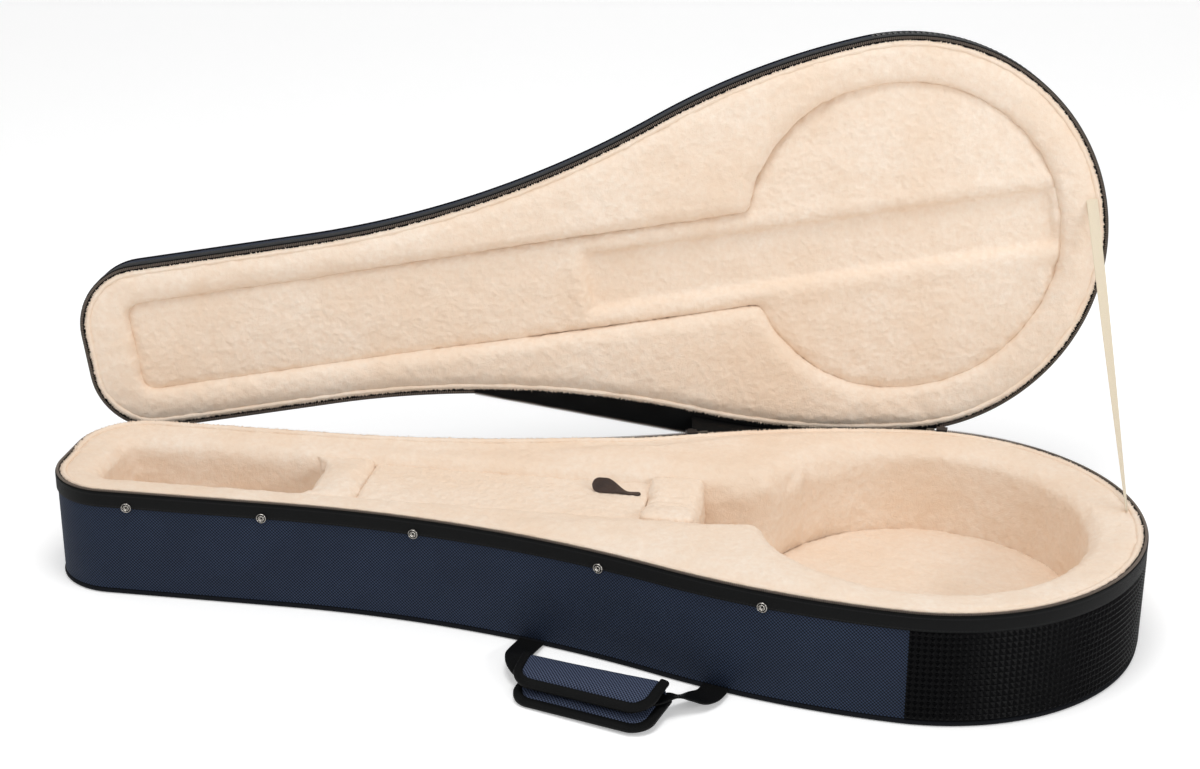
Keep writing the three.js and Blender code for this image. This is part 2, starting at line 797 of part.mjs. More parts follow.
// Handle frame: x along the wall between the two ends of the webbing, y inwards, z up
const handleLeft = stationAtX(heelX - handleReach, -1).at(-pipingProud);
const handleRight = stationAtX(heelX - handleReach + handleSpan, -1).at(-pipingProud);
const handleMiddle = handleLeft.clone().add(handleRight).multiplyScalar(0.5);
const handleAngle = Math.atan2(handleRight.y - handleLeft.y, handleRight.x - handleLeft.x);
const handleHalfSpan = handleLeft.distanceTo(handleRight) / 2;
const webbingZ = lowerFlapThickness + fit + webbingThickness / 2;
const upperFlapZ = webbingZ + webbingThickness / 2 + fit;

function buildHandle() {
  const frame = new THREE.Group();
  frame.position.set(handleMiddle.x, handleMiddle.y, 0);
  frame.rotation.z = handleAngle;
  frame.add(webbing(), gripFold());
  frame.add(...flap('lower', lowerFlapWidth, 0, lowerFlapThickness));
  frame.add(...flap('upper', upperFlapWidth, upperFlapZ, upperFlapThickness));
  return frame;
}

// One strap: out from the bottom seam, round a bend, through the grip and back in the same way
function webbing() {
  const half = webbingWidth / 2;
  const t = webbingThickness / 2;
  const bend = gripNear + upperFlapWidth / 2 - webbingStart;
  const start = webbingLift + t;
  const places = [];
  for (let i = 0; i <= webbingSteps; i += 1) {
    const turn = ((Math.PI / 2) * i) / webbingSteps;
    const out = bend * Math.sin(turn);
    const x = webbingTuck * (1 - Math.cos(turn)) - handleHalfSpan;
    const z = start + (webbingZ - start) * Math.min(1, out / (gripNear - webbingLead));
    places.push({ x, y: -webbingStart - out, z, turn });
  }
  const mirrored = places.map((p) => ({ ...p, x: -p.x, turn: Math.PI - p.turn })).reverse();
  const rings = [...places, ...mirrored].map(({ x, y, z, turn }) => {
    const dx = half * Math.cos(turn);
    const dy = half * Math.sin(turn);
    return [[-1, -t], [1, -t], [1, t], [-1, t]]
      .map(([side, dz]) => new THREE.Vector3(x + side * dx, y + side * dy, z + dz));
  });
  return mesh('handle_webbing', tube(rings, false), 'tape');
}

// The free edge of a flap, from its back left corner round the front to its back right corner
function flapEdge(width, inset) {
  const left = gripShift - gripLength / 2 + inset;
  const right = gripShift + gripLength / 2 - inset;
  const front = inset - gripNear - width;
  const r = flapCorner - inset;
  const points = [new THREE.Vector2(left, -gripNear)];
  for (const [x, from] of [[left + r, Math.PI], [right - r, Math.PI * 1.5]]) {
    for (let i = 0; i <= cornerSteps; i += 1) {
      const a = from + ((Math.PI / 2) * i) / cornerSteps;
      points.push(new THREE.Vector2(x + r * Math.cos(a), front + r + r * Math.sin(a)));
    }
  }
  points.push(new THREE.Vector2(right, -gripNear));
  return points;
}

// A padded flap of the wrap, bound along its free edge
function flap(name, width, z0, thickness) {
  const corners = [[0, 0], [bindingWidth, 0], [bindingWidth, bindingThickness], [0, bindingThickness]];
  const loops = corners.map(([inset, dz]) => (
    flapEdge(width, inset).map((p) => new THREE.Vector3(p.x, p.y, z0 + dz))));
  const binding = tube(loops[0].map((_, i) => loops.map((loop) => loop[i])), false);
  const inner = bindingWidth + fit;
  const layer = (chamfer, z) => ({
    outline: flapEdge(width, inner + chamfer).map((p) => new THREE.Vector2(
      p.x, Math.min(p.y, -gripNear - chamfer))),
    z,
  });
  const pad = loft([
    layer(flapChamfer, z0),
    layer(0, z0 + flapChamfer),
    layer(0, z0 + thickness - flapChamfer),
    layer(flapChamfer, z0 + thickness),
  ]);
  return [mesh(`grip_${name}_pad`, pad, 'cloth'), mesh(`grip_${name}_binding`, binding, 'tape')];
}

// The cloth of the wrap where it folds over, along the back edges of the two flaps
function gripFold() {
  const reach = gripLength / 2 - flapCorner;
  const y = fit - gripNear;
  const z1 = upperFlapZ + upperFlapThickness - flapChamfer;
  const fold = box(gripShift - reach, gripShift + reach, y, y + foldThickness, flapChamfer, z1);
  return mesh('grip_fold', fold, 'cloth');
}

// Zipper slider: a channel over the coil, with a bridge that carries the pull. Its roof has
// room between the coils of the closed shells.
// Its frame: x along the rim, y outwards, z up from the rim plane.
function buildSlider(name, place) {
  const face = tapeThickness + 2 * fit;
  const coilFoot = -coilGap - coilHeight;
  const inner = coilProud - coilWidth - sliderPlay;
  const top = sliderRoof / 2;
  const outerY = face + sliderOuterWall;
  const points = [
    [outerY, -sliderSkirt], [outerY, top], [inner - sliderWall, top], [inner - sliderWall, coilFoot],
    [inner, coilFoot], [inner, top - sliderRoof], [face, top - sliderRoof], [face, -sliderSkirt],
  ];
  const half = sliderLength / 2;
  const rings = [-half, half].map((x) => points.map(([y, z]) => new THREE.Vector3(x, y, z)));
  const bridge = box(-pullWidth / 2, pullWidth / 2, outerY - sliderWall, outerY + bridgeReach,
    top - bridgeHeight, top);
  const body = solidOf(tube(rings, false)).add(solidOf(bridge));
  const pullTop = top - bridgeHeight - pullGap;
  const pullFace = outerY + bridgeReach;
  const pull = box(-pullWidth / 2, pullWidth / 2, pullFace - pullThickness, pullFace,
    pullTop - pullLength, pullTop);
  const frame = new THREE.Group();
  const p = place.at(0);
  frame.position.set(p.x, p.y, rimZ);
  frame.rotation.z = place.normal - Math.PI / 2;
  frame.add(mesh(`zipper_slider_${name}`, geometryOf(body), 'darkMetal'));
  frame.add(mesh(`zipper_pull_${name}`, pull, 'darkMetal'));
  return frame;
}

const banjoCase = new THREE.Group();
banjoCase.add(buildBase(), buildHatch(), buildPullTab(), buildHandle());
banjoCase.add(buildLid(), hingeGusset(), stayTape());
banjoCase.add(buildSlider('heel', stationAtX(coilHeelX + sliderFromEnd, 1)));
banjoCase.add(buildSlider('waist', stationAtX(coilWaistX - sliderFromEnd, 1)));

export default banjoCase;
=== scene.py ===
# %% [markdown]
# This lesson dresses a plush-lined banjo case that lies open on a pale floor. The frame holds
# the solids at their real size. Each one is a guide: a softer, finer piece is modelled over it,
# in metres and in the same place, and then stands for it.

# %% Open the frame
import json
import math

import bpy
import numpy as np
from mathutils import Matrix, Vector

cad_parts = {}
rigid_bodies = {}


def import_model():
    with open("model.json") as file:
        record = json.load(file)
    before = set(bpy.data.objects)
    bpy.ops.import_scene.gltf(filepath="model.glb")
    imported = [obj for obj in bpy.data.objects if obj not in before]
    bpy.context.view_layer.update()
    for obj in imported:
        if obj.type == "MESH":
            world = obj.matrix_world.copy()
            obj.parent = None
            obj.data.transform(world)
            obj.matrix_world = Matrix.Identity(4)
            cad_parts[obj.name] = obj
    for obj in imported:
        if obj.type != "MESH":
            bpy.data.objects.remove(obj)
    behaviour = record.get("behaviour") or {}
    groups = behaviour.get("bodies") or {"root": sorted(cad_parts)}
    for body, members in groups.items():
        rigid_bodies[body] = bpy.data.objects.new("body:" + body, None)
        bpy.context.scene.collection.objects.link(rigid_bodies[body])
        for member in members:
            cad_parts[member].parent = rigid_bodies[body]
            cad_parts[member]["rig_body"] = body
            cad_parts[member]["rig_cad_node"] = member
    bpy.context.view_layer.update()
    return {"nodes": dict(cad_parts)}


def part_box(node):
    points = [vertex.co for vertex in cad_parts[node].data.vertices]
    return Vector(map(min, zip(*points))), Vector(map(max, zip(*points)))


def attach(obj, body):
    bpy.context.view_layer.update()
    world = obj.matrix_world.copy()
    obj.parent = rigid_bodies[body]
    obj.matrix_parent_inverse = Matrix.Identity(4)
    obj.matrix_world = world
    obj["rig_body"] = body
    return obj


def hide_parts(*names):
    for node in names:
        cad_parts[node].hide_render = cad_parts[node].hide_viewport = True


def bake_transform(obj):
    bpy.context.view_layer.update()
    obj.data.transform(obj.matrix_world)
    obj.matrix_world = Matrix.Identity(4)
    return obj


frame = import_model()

MM = 0.001
ALL_SMOOTH = 180  # degrees: no edge of a soft piece is drawn sharp
print("frame loaded with", len(frame["nodes"]), "nodes")

# %% [markdown]
# A few habits are worth a helper each. Operators act on all that is selected, so each step
# starts by selecting one piece alone. A finished piece gets its material, the body that it
# rides on, the solids that it stands for, and smooth shading up to a chosen angle.


# %% Helpers for any piece
def mode(name):
    bpy.ops.object.mode_set(mode=name)


def only(piece):
    """Selects this piece alone and makes it active."""
    bpy.ops.object.select_all(action="DESELECT")
    piece.select_set(True)
    bpy.context.view_layer.objects.active = piece


def fresh(add, location=(0, 0, 0), **settings):
    """Deselects everything, then adds a primitive at its place."""
    bpy.ops.object.select_all(action="DESELECT")
    add(location=location, **settings)
    return bpy.context.object


def pick_edges(piece, test, kind="EDGE"):
    """Selects the edges whose two ends pass the test, and stays in edit mode."""
    mode("EDIT")
    bpy.ops.mesh.select_mode(type=kind)
    bpy.ops.mesh.select_all(action="DESELECT")
    mode("OBJECT")
    for edge in piece.data.edges:
        edge.select = all(test(piece.data.vertices[i].co) for i in edge.vertices)
    mode("EDIT")


def extrude(*stride):
    bpy.ops.mesh.extrude_region_move(TRANSFORM_OT_translate={"value": stride})


def weld(distance=0.01 * MM, outwards=True):
    """Merges doubles in edit mode, and turns the faces outwards."""
    bpy.ops.mesh.select_all(action="SELECT")
    bpy.ops.mesh.remove_doubles(threshold=distance)
    if outwards:
        bpy.ops.mesh.normals_make_consistent(inside=False)


def finish_with(piece, kind, **settings):
    """Adds a modifier and applies it."""
    only(piece)
    modifier = piece.modifiers.new(kind, kind)
    for name, value in settings.items():
        setattr(modifier, name, value)
    bpy.ops.object.modifier_apply(modifier=modifier.name)


def points_of(piece):
    """The vertices as rows of x, y and z."""
    rows = np.empty(len(piece.data.vertices) * 3)
    piece.data.vertices.foreach_get("co", rows)
    return rows.reshape(-1, 3)


def move_points(piece, rows):
    piece.data.vertices.foreach_set("co", np.asarray(rows).ravel())
    piece.data.update()


def settle(piece, name, body, material, nodes=(), angle=40):
    """Names a finished piece and ties it to the frame."""
    only(piece)
    bpy.ops.object.transform_apply()
    piece.name = piece.data.name = name
    piece.data.materials.clear()
    piece.data.materials.append(material)
    bpy.ops.object.shade_smooth_by_angle(angle=math.radians(angle))
    if body:
        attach(piece, body)
    if nodes:
        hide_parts(*nodes)
    print(name, len(piece.data.polygons), "faces")


print("helpers are ready")

# %% [markdown]
# The camera comes first, because every later choice is judged through it. The photograph was
# taken from the front, from a little above the open lid, with a long lens. The view is square
# to nothing: it is turned a few degrees to the left and tilted down.

# %% Camera
camera_place = (0.3059, -1.82539, 0.95551)
turned_left, tilted_down, rolled = 0.1602, 0.3806, 0.0054
lens_data = bpy.data.cameras.new("photo_lens")
lens_data.sensor_width = 36
lens_data.lens = 63.94
camera = bpy.data.objects.new("photo_camera", lens_data)
bpy.context.scene.collection.objects.link(camera)
aim = (
    Matrix.Rotation(turned_left, 4, "Z")
    @ Matrix.Rotation(math.pi / 2 - tilted_down, 4, "X")
    @ Matrix.Rotation(rolled, 4, "Z")
)
camera.matrix_world = Matrix.Translation(camera_place) @ aim
bpy.context.scene.camera = camera
print("camera at", camera_place)

# %% [markdown]
# The stage is a sheet of pale paper that curves up behind the case, as in a product studio, so
# that no horizon shows. One plane is enough: its back edge is pulled up into a wall, and the
# fold between them is rounded with a bevel.

# %% Paper sweep
wall_y, wall_height, fold_radius = 4, 5, 2
paper = fresh(bpy.ops.mesh.primitive_plane_add, size=9, location=(0, 0, -0.5 * MM))
paper.name = "paper_sweep"
pick_edges(paper, lambda end: end.y > wall_y)
extrude(0, 0, wall_height)
mode("OBJECT")
pick_edges(paper, lambda end: end.y > wall_y and end.z < 0.1)
bpy.ops.mesh.bevel(offset=fold_radius, segments=16)
mode("OBJECT")
bpy.ops.object.shade_smooth()
white_paper = bpy.data.materials.new("white_paper")
white_paper.use_nodes = True
paper_look = {
    "Base Color": (0.9, 0.9, 0.9, 1), "Roughness": 0.9,
    "Emission Color": (1, 1, 1, 1), "Emission Strength": 0.3,
}
for socket, value in paper_look.items():
    white_paper.node_tree.nodes["Principled BSDF"].inputs[socket].default_value = value
paper.data.materials.append(white_paper)
print("paper sweep with", len(paper.data.polygons), "faces")

# %% [markdown]
# Soft light comes from large panels. One overhead lights the slopes of the linings from above,
# so that their creases show. A long strip on the right draws glints on the vinyl and the metal,
# a weaker panel fills from the left, and the white room around them fills the shadows.


# %% Lights
def soft_panel(name, place, target, wide, tall, power):
    light = bpy.data.lights.new(name, "AREA")
    light.shape = "ELLIPSE" if wide == tall else "RECTANGLE"
    light.size, light.size_y = wide, tall
    light.energy = power
    lamp = bpy.data.objects.new(name, light)
    bpy.context.scene.collection.objects.link(lamp)
    lamp.location = place
    away = Vector(place) - Vector(target)
    lamp.rotation_mode = "QUATERNION"
    lamp.rotation_quaternion = away.to_track_quat("Z", "Y")


soft_panel("left_panel", (-1.3, -2.2, 2.6), (0, 0, 0.1), 1.6, 1.6, 15)
soft_panel("right_strip", (2.4, -1.45, 1.35), (0.35, -0.15, 0.1), 2.4, 0.3, 22)
soft_panel("top_panel", (0.1, -0.5, 2.7), (0, 0.1, 0.1), 1.2, 1.2, 25)
world = bpy.data.worlds.new("white_room")
bpy.context.scene.world = world
world.use_nodes = True
room = world.node_tree.nodes["Background"]
room.inputs["Color"].default_value = (1, 1, 1, 1)
room.inputs["Strength"].default_value = 0.5
bpy.context.scene.view_settings.view_transform = "Standard"
print("three soft panels in a white room")

# %% [markdown]
# Materials are node trees. Written as sums they stay readable, so one small class wraps an
# output socket: adding two of them makes a Math node. Any other node comes from its method
# `node`, which takes the kind of node, its settings and what goes into its sockets.


# %% Sums of sockets
class Wire:
    def __init__(self, tree, socket=None):
        self.tree, self.socket = tree, socket

    def node(self, kind, settings=None, sockets=None, output=0):
        made = self.tree.nodes.new("ShaderNode" + kind)
        for name, value in (settings or {}).items():
            setattr(made, name, value)
        for name, value in (sockets or {}).items():
            if isinstance(value, Wire):
                self.tree.links.new(value.socket, made.inputs[name])
            else:
                made.inputs[name].default_value = value
        return Wire(self.tree, made.outputs[output])

    def calc(self, operation, *values):
        return self.node("Math", {"operation": operation}, dict(enumerate(values)))

    def __add__(self, other):
        return self.calc("ADD", self, other)

    def __radd__(self, other):
        return self.calc("ADD", other, self)

    def __sub__(self, other):
        return self.calc("SUBTRACT", self, other)

    def __rsub__(self, other):
        return self.calc("SUBTRACT", other, self)

    def __mul__(self, other):
        return self.calc("MULTIPLY", self, other)

    def __rmul__(self, other):
        return self.calc("MULTIPLY", other, self)

    def __truediv__(self, other):
        return self.calc("DIVIDE", self, other)

    def __lt__(self, other):
        return self.calc("LESS_THAN", self, other)

    def part(self):
        """What is left after the whole numbers."""
        return self.calc("FRACT", self)

    def size(self):
        return self.calc("ABSOLUTE", self)

    def hump(self):
        """1 in the middle of each unit and 0 at its two edges."""
        middle = self.part() * 2 - 1
        return 1 - middle * middle

    def noise(self, scale, detail=2.0, rough=0.5):
        """Cloudy noise; the scale is in lumps per metre."""
        sockets = {"Vector": self, "Scale": scale, "Detail": detail, "Roughness": rough}
        return self.node("TexNoise", {}, sockets)

    def spread(self, low, high):
        """Low becomes 0 and high becomes 1, with what is beyond them cut off."""
        return self.node("MapRange", {"clamp": True}, {"Value": self, 1: low, 2: high})

    def blend(self, first, second):
        """A colour between two colours, by this factor."""
        return self.node("Mix", {"data_type": "RGBA"}, {0: self, 6: first, 7: second}, 2)

    def place(self):
        """Where a point is on its piece, in metres."""
        return self.node("TexCoord", output=3)

    def cloth_map(self):
        """The piece's own map in metres: both lengths together, and each one alone."""
        where = self.node("UVMap", {"uv_map": "cloth"})
        along = self.node("SeparateXYZ", {}, {0: where})
        return where, along, Wire(self.tree, along.socket.node.outputs[1])


def start_material(name):
    """A new material, and a first wire of its node tree."""
    material = bpy.data.materials.new(name)
    material.use_nodes = True
    return material, Wire(material.node_tree)


def shade(material, base, rough, height=None, depth=MM, **constants):
    """Fills the shader: base and rough may be wires, and height drives a bump."""
    tree = material.node_tree
    shader = tree.nodes["Principled BSDF"]
    for name, value in {"Base Color": base, "Roughness": rough}.items():
        if isinstance(value, Wire):
            tree.links.new(value.socket, shader.inputs[name])
        else:
            shader.inputs[name].default_value = value
    for name, value in constants.items():
        shader.inputs[name.replace("_", " ")].default_value = value
    if height is not None:
        bump = height.node("Bump", {}, {"Height": height, "Distance": depth, "Strength": 1.0})
        tree.links.new(bump.socket, shader.inputs["Normal"])
    return material


def colour(red, green, blue):
    """A screen colour from 0 to 255 as the linear colour that shaders use."""
    linear = []
    for level in (red, green, blue):
        share = level / 255
        linear.append(share / 12.92 if share <= 0.04045 else ((share + 0.055) / 1.055) ** 2.4)
    return (*linear, 1)


print("materials can be written as sums")

# %% [markdown]
# The lining is short-pile plush, a warm cream. Its pile lies in patches that catch the light
# differently, and each tuft is a small lump; the hollows between lumps are painted darker, as
# shade. Three sizes of noise give the patches, the lumps and the tips; sheen gives the pale
# bloom that pile shows where it is seen edge-on.

# %% Plush
plush, wire = start_material("cream_plush")
place = wire.place()
patches, brushed = place.noise(9, 3, 0.6), place.noise(60, 3, 0.6)
lumps, tips = place.noise(170, 3, 0.6), place.noise(900, 2, 0.6)
pile = patches.spread(0.35, 0.65).blend(colour(238, 217, 195), colour(244, 230, 214))
# where the lumps are low the pile is painted a darker peach, as shade in the hollows
pile = (0.5 - lumps.spread(0.3, 0.75) * 0.5).blend(pile, colour(232, 204, 178))
height = brushed * 0.5 + lumps * 0.35 + tips * 0.25
bloom = {"Sheen_Weight": 0.2, "Sheen_Roughness": 0.5, "Sheen_Tint": colour(255, 244, 230)}
shade(plush, pile, 0.95, height, 2.2 * MM, **bloom)
print("plush has", len(plush.node_tree.nodes), "nodes")

# %% [markdown]
# The outer cloth is a coarse basket weave: blue threads one way, nearly black ones the other,
# each about 1.6 mm wide. It follows the wall, so it reads the piece's own map, which is laid
# out in metres: along the case, and up. The flat panels, seen edge-on, take a plainer cloth.

# %% Woven cloth
THREAD = 1.6 * MM


def weave(wire, thread, over_colour, under_colour):
    """Colour, height and map of a plain weave."""
    where, along, up = wire.cloth_map()
    u, v = along / thread, up / thread
    rising, falling = ((u + v) * 0.5).hump(), ((u - v) * 0.5).hump()
    ridge = rising + (1 - rising) * falling * 0.6
    # between threads are painted toward the under colour, as shade; the other threads keep it as
    # their own
    # the colour follows the height: crowns take the over colour, and thread sides and the gaps
    lit = (ridge * (falling * 0.25 + 0.75)).spread(0.6, 1.08)
    return lit.blend(under_colour, over_colour), ridge, where


blue_cloth, wire = start_material("blue_cloth")
shaded, ridge, where = weave(wire, THREAD, colour(53, 67, 93), colour(0, 1, 3))
wear = where.noise(14, 3, 0.6).spread(0.4, 0.62)
worn = (wear * 0.2).blend(shaded, colour(15, 20, 32))
shade(blue_cloth, worn, 0.7, ridge + wear * 0.5, 0.5 * MM, Specular_IOR_Level=0.15)

grip_cloth, wire = start_material("grip_cloth")
shaded, ridge, where = weave(wire, THREAD, colour(92, 104, 132), colour(5, 8, 18))
flecks = where.noise(800, 2, 0.7).spread(0.4, 0.7) * 0.35
flecked = flecks.blend(shaded, colour(52, 60, 82))
shade(grip_cloth, flecked, 0.7, ridge, 0.5 * MM, Specular_IOR_Level=0.15)

panel_cloth, wire = start_material("panel_cloth")
place = wire.place()
dusty = place.noise(11, 3, 0.6).spread(0.35, 0.7)
dark = dusty.blend(colour(25, 30, 43), colour(31, 37, 53))
shade(panel_cloth, dark, 0.82, place.noise(700, 2, 0.7), 0.6 * MM, Sheen_Weight=0.1)
print("three cloths")

# %% [markdown]
# The black trims are ribbed tape. The ribs are half a millimetre wide and cross the tape, so
# they read the length along the case, and the troughs between them are painted darker, as shade.
# A line of stitches runs near each edge: short raised dashes where the thread comes up.

# %% Ribbed tape
RIB, STITCH, STITCH_HALF = 0.6 * MM, 3.2 * MM, 0.45 * MM


def ribbed_tape(name, base, *stitch_lines):
    """Black tape with rows of stitches at these heights, in metres."""
    material, wire = start_material(name)
    _, along, up = wire.cloth_map()
    ribs = (along / RIB).hump()
    # rib troughs are painted near black and crests keep the tape colour, as shade between ribs
    height, tint = ribs * 0.35, ribs.spread(0, 1).blend(colour(4, 4, 5), base)
    for line in stitch_lines:
        dash = ((along / STITCH).part() < 0.78) * ((up - line).size() < STITCH_HALF)
        height = height + dash * 0.9
        tint = dash.blend(tint, colour(26, 26, 27))
    return shade(material, tint, 0.6, height, 0.4 * MM, Specular_IOR_Level=0.12)


rim_tape = ribbed_tape("rim_tape", colour(11, 12, 12), 93.5 * MM, 104.5 * MM)
plain_tape = ribbed_tape("plain_tape", colour(10, 11, 11))
piping_cloth, wire = start_material("piping_cloth")
grain = wire.place().noise(900, 2, 0.7)
dark = grain.blend(colour(7, 8, 10), colour(22, 24, 30))
shade(piping_cloth, dark, 0.75, grain, 0.5 * MM, Specular_IOR_Level=0.1)
print("tape and piping")

# %% [markdown]
# The heel is faced with glossy vinyl, pressed into small pyramids. The pyramids are real
# geometry, so the material only adds the fine leather-like grain and a little uneven gloss.
# The other small finishes are as simple: one noise or one pattern each. The nickel is painted
# darker in the rivets' hollow and groove, as the shade that falls there; it finds them by the
# distance from their middle.

# %% Vinyl, coil, metal, leather and tape
HOLLOW, GROOVE, GROOVE_HALF = 1.1 * MM, 3.4 * MM, 0.45 * MM

vinyl, wire = start_material("black_vinyl")
place = wire.place()
gloss = place.noise(18, 2, 0.5).spread(0.3, 0.7) * 0.08 + 0.14
grain = place.noise(1400, 2, 0.6)
shade(vinyl, colour(2, 2, 3), gloss, grain, 0.12 * MM, Specular_IOR_Level=0.05)

coil_nylon, wire = start_material("coil_nylon")
gloss = wire.place().noise(300).spread(0.2, 0.8) * 0.2 + 0.3
shade(coil_nylon, colour(104, 92, 82), gloss)

nickel, wire = start_material("nickel")
scratch = wire.place().noise(500, 3, 0.7)
radius = wire.cloth_map()[1]
# the hollow and the groove are painted near black, as shade in the rivet's recesses
hollow = (radius < HOLLOW) + ((radius - GROOVE).size() < GROOVE_HALF)
tone = hollow.blend(colour(176, 172, 166), colour(20, 19, 18))
shade(nickel, tone, scratch.spread(0.2, 0.8) * 0.2 + 0.16, Metallic=1.0)

dark_metal, wire = start_material("dark_metal")
scratch = wire.place().noise(600, 3, 0.7)
shade(dark_metal, colour(58, 58, 62), scratch.spread(0.2, 0.8) * 0.25 + 0.25, Metallic=1.0)

leather, wire = start_material("brown_leather")
place = wire.place()
cells = {"Vector": place, "Scale": 900.0}
crease = place.node("TexVoronoi", {"feature": "DISTANCE_TO_EDGE"}, cells)
hide = place.noise(60, 3, 0.6).spread(0.3, 0.7).blend(colour(46, 32, 26), colour(70, 50, 40))
shade(leather, hide, 0.5, crease.spread(0, 0.3), 0.3 * MM)

stay_weave, wire = start_material("cream_tape")
shaded, ridge, _ = weave(wire, 0.6 * MM, colour(243, 230, 208), colour(216, 202, 176))
shade(stay_weave, shaded, 0.8, ridge, 0.3 * MM)

grey_tape, wire = start_material("grey_tape")
grain = wire.place().noise(1200, 2, 0.7)
shade(grey_tape, grain.blend(colour(60, 56, 50), colour(96, 90, 80)), 0.8, grain, 0.4 * MM)
print("seven small finishes")

# %% [markdown]
# Everything on the shells follows one outline: a round heel, a long shoulder, a hollow waist
# and a head with round corners. Each is an arc, so the outline can be drawn as on paper, by
# spinning a point about one arc centre after another, and mirroring the result.

# %% Arcs of the outline
heel_x, heel_r = 0.318, 0.202
shoulder_r = 0.757
shoulder_from, shoulder_to = math.radians(94.2), math.radians(111)
head_half, corner_r, end_x = 0.085, 0.063, -0.52
shoulder_x = heel_x - (shoulder_r - heel_r) * math.cos(shoulder_from)
shoulder_y = -(shoulder_r - heel_r) * math.sin(shoulder_from)
heel_end = heel_x + heel_r * math.cos(shoulder_from)
shoulder_end = shoulder_x + shoulder_r * math.cos(shoulder_to)
shoulder_top = shoulder_y + shoulder_r * math.sin(shoulder_to)
waist_r = (shoulder_top - head_half) / (1 - math.sin(shoulder_to))
waist_x = shoulder_x + (shoulder_r + waist_r) * math.cos(shoulder_to)
waist_y = shoulder_y + (shoulder_r + waist_r) * math.sin(shoulder_to)
corner_x, corner_y = end_x + corner_r, head_half - corner_r
waist_turn = shoulder_to - math.pi / 2
lengths = np.cumsum([
    heel_r * shoulder_from,
    shoulder_r * (shoulder_to - shoulder_from),
    waist_r * waist_turn,
    waist_x - corner_x,
    corner_r * math.pi / 2,
    corner_y,
])
half_length = lengths[-1]
print("half of the outline is", round(half_length, 3), "m long")

# %% [markdown]
# The cloth maps need to know how far along the outline a point lies. Each arc answers by the
# angle about its own centre. Lengths on the front half are negative, so the only jump is in
# the middle of the head end, and faces that cross it are mended corner by corner.


# %% Length along the outline
def turns_at(x, y):
    """The angles of points about the centres of the heel and of the shoulder."""
    return np.arctan2(y, x - heel_x), np.arctan2(y - shoulder_y, x - shoulder_x)


def on_arcs(x, y):
    """Whether points lie beside the heel, and if not, whether beside the shoulder."""
    heel_turn, shoulder_turn = turns_at(x, y)
    return heel_turn <= shoulder_from, shoulder_turn <= shoulder_to


def along(rows):
    """How far along the outline points are."""
    x, y = rows[:, 0], np.abs(rows[:, 1])
    heel_turn, shoulder_turn = turns_at(x, y)
    waist_angle = np.arctan2(x - waist_x, waist_y - y)
    corner_turn = np.arctan2(corner_x - x, y - corner_y)
    distance = np.select(
        [*on_arcs(x, y), x > waist_x, x > corner_x, y > corner_y],
        [
            heel_r * heel_turn,
            lengths[0] + shoulder_r * (shoulder_turn - shoulder_from),
            lengths[1] + waist_r * (waist_turn - waist_angle),
            lengths[2] + waist_x - x,
            lengths[3] + corner_r * corner_turn,
        ],
        half_length - y,
    )
    return distance * np.where(rows[:, 1] < 0, -1, 1)


def lay_cloth(piece, u, v):
    """Writes the piece's own map, in metres, from a pair of numbers for each vertex."""
    mesh = piece.data
    corners = np.empty(len(mesh.loops), int)
    mesh.loops.foreach_get("vertex_index", corners)
    pairs = np.stack([u[corners], v[corners]], 1)
    for face in mesh.polygons:
        span = pairs[face.loop_start : face.loop_start + face.loop_total, 0]
        if span.max() - span.min() > half_length:
            span[span < 0] += 2 * half_length
    layer = mesh.uv_layers.get("cloth") or mesh.uv_layers.new(name="cloth")
    layer.data.foreach_set("uv", pairs.ravel())


def lay_on_wall(piece):
    rows = points_of(piece)
    lay_cloth(piece, along(rows), rows[:, 2])


print("lengths run from", -round(half_length, 3), "to", round(half_length, 3))

# %% [markdown]
# The path itself is drawn with the spin tool. It turns the last vertex about a centre and
# leaves a chain behind. A mirrored copy gives the other side, and the two ends are welded.


# %% Draw the outline
def start_chain(*first):
    """A single vertex at a place, in edit mode, from which a chain is drawn."""
    chain = fresh(bpy.ops.mesh.primitive_plane_add, size=0.01)
    mode("EDIT")
    bpy.ops.mesh.select_mode(type="VERT")
    bpy.ops.mesh.merge(type="CENTER")
    bpy.ops.transform.translate(value=first)
    return chain


def spin(steps, turn, *centre):
    """Spins what is selected about an upright line."""
    bpy.ops.mesh.spin(steps=steps, angle=turn, center=centre, axis=(0, 0, 1))


def draw_outline(z=0):
    """A closed chain of edges round the case at a height, on which sections are swept."""
    head_steps, end_steps = 18, 3
    path = start_chain(heel_x + heel_r, 0, z)
    spin(48, -shoulder_from, heel_x, 0, z)
    spin(24, shoulder_from - shoulder_to, shoulder_x, shoulder_y, z)
    spin(40, waist_turn, waist_x, waist_y, z)
    for _ in range(head_steps):
        extrude((corner_x - waist_x) / head_steps, 0, 0)
    spin(16, -math.pi / 2, corner_x, corner_y, z)
    for _ in range(end_steps):
        extrude(0, -corner_y / end_steps, 0)
    bpy.ops.mesh.select_all(action="SELECT")
    bpy.ops.mesh.duplicate()
    across = (False, True, False)
    bpy.ops.transform.mirror(constraint_axis=across, center_override=(0, 0, z))
    weld(0.2 * MM, outwards=False)
    mode("OBJECT")
    return path


print("the outline can be drawn")

# %% [markdown]
# A wall, a tape or a piping cord is one section carried along the outline. The section is a
# plane, scaled to size with its corners rounded; its bare edge becomes the profile of a curve
# that runs along the path. This keeps every trim exactly parallel to the shell.


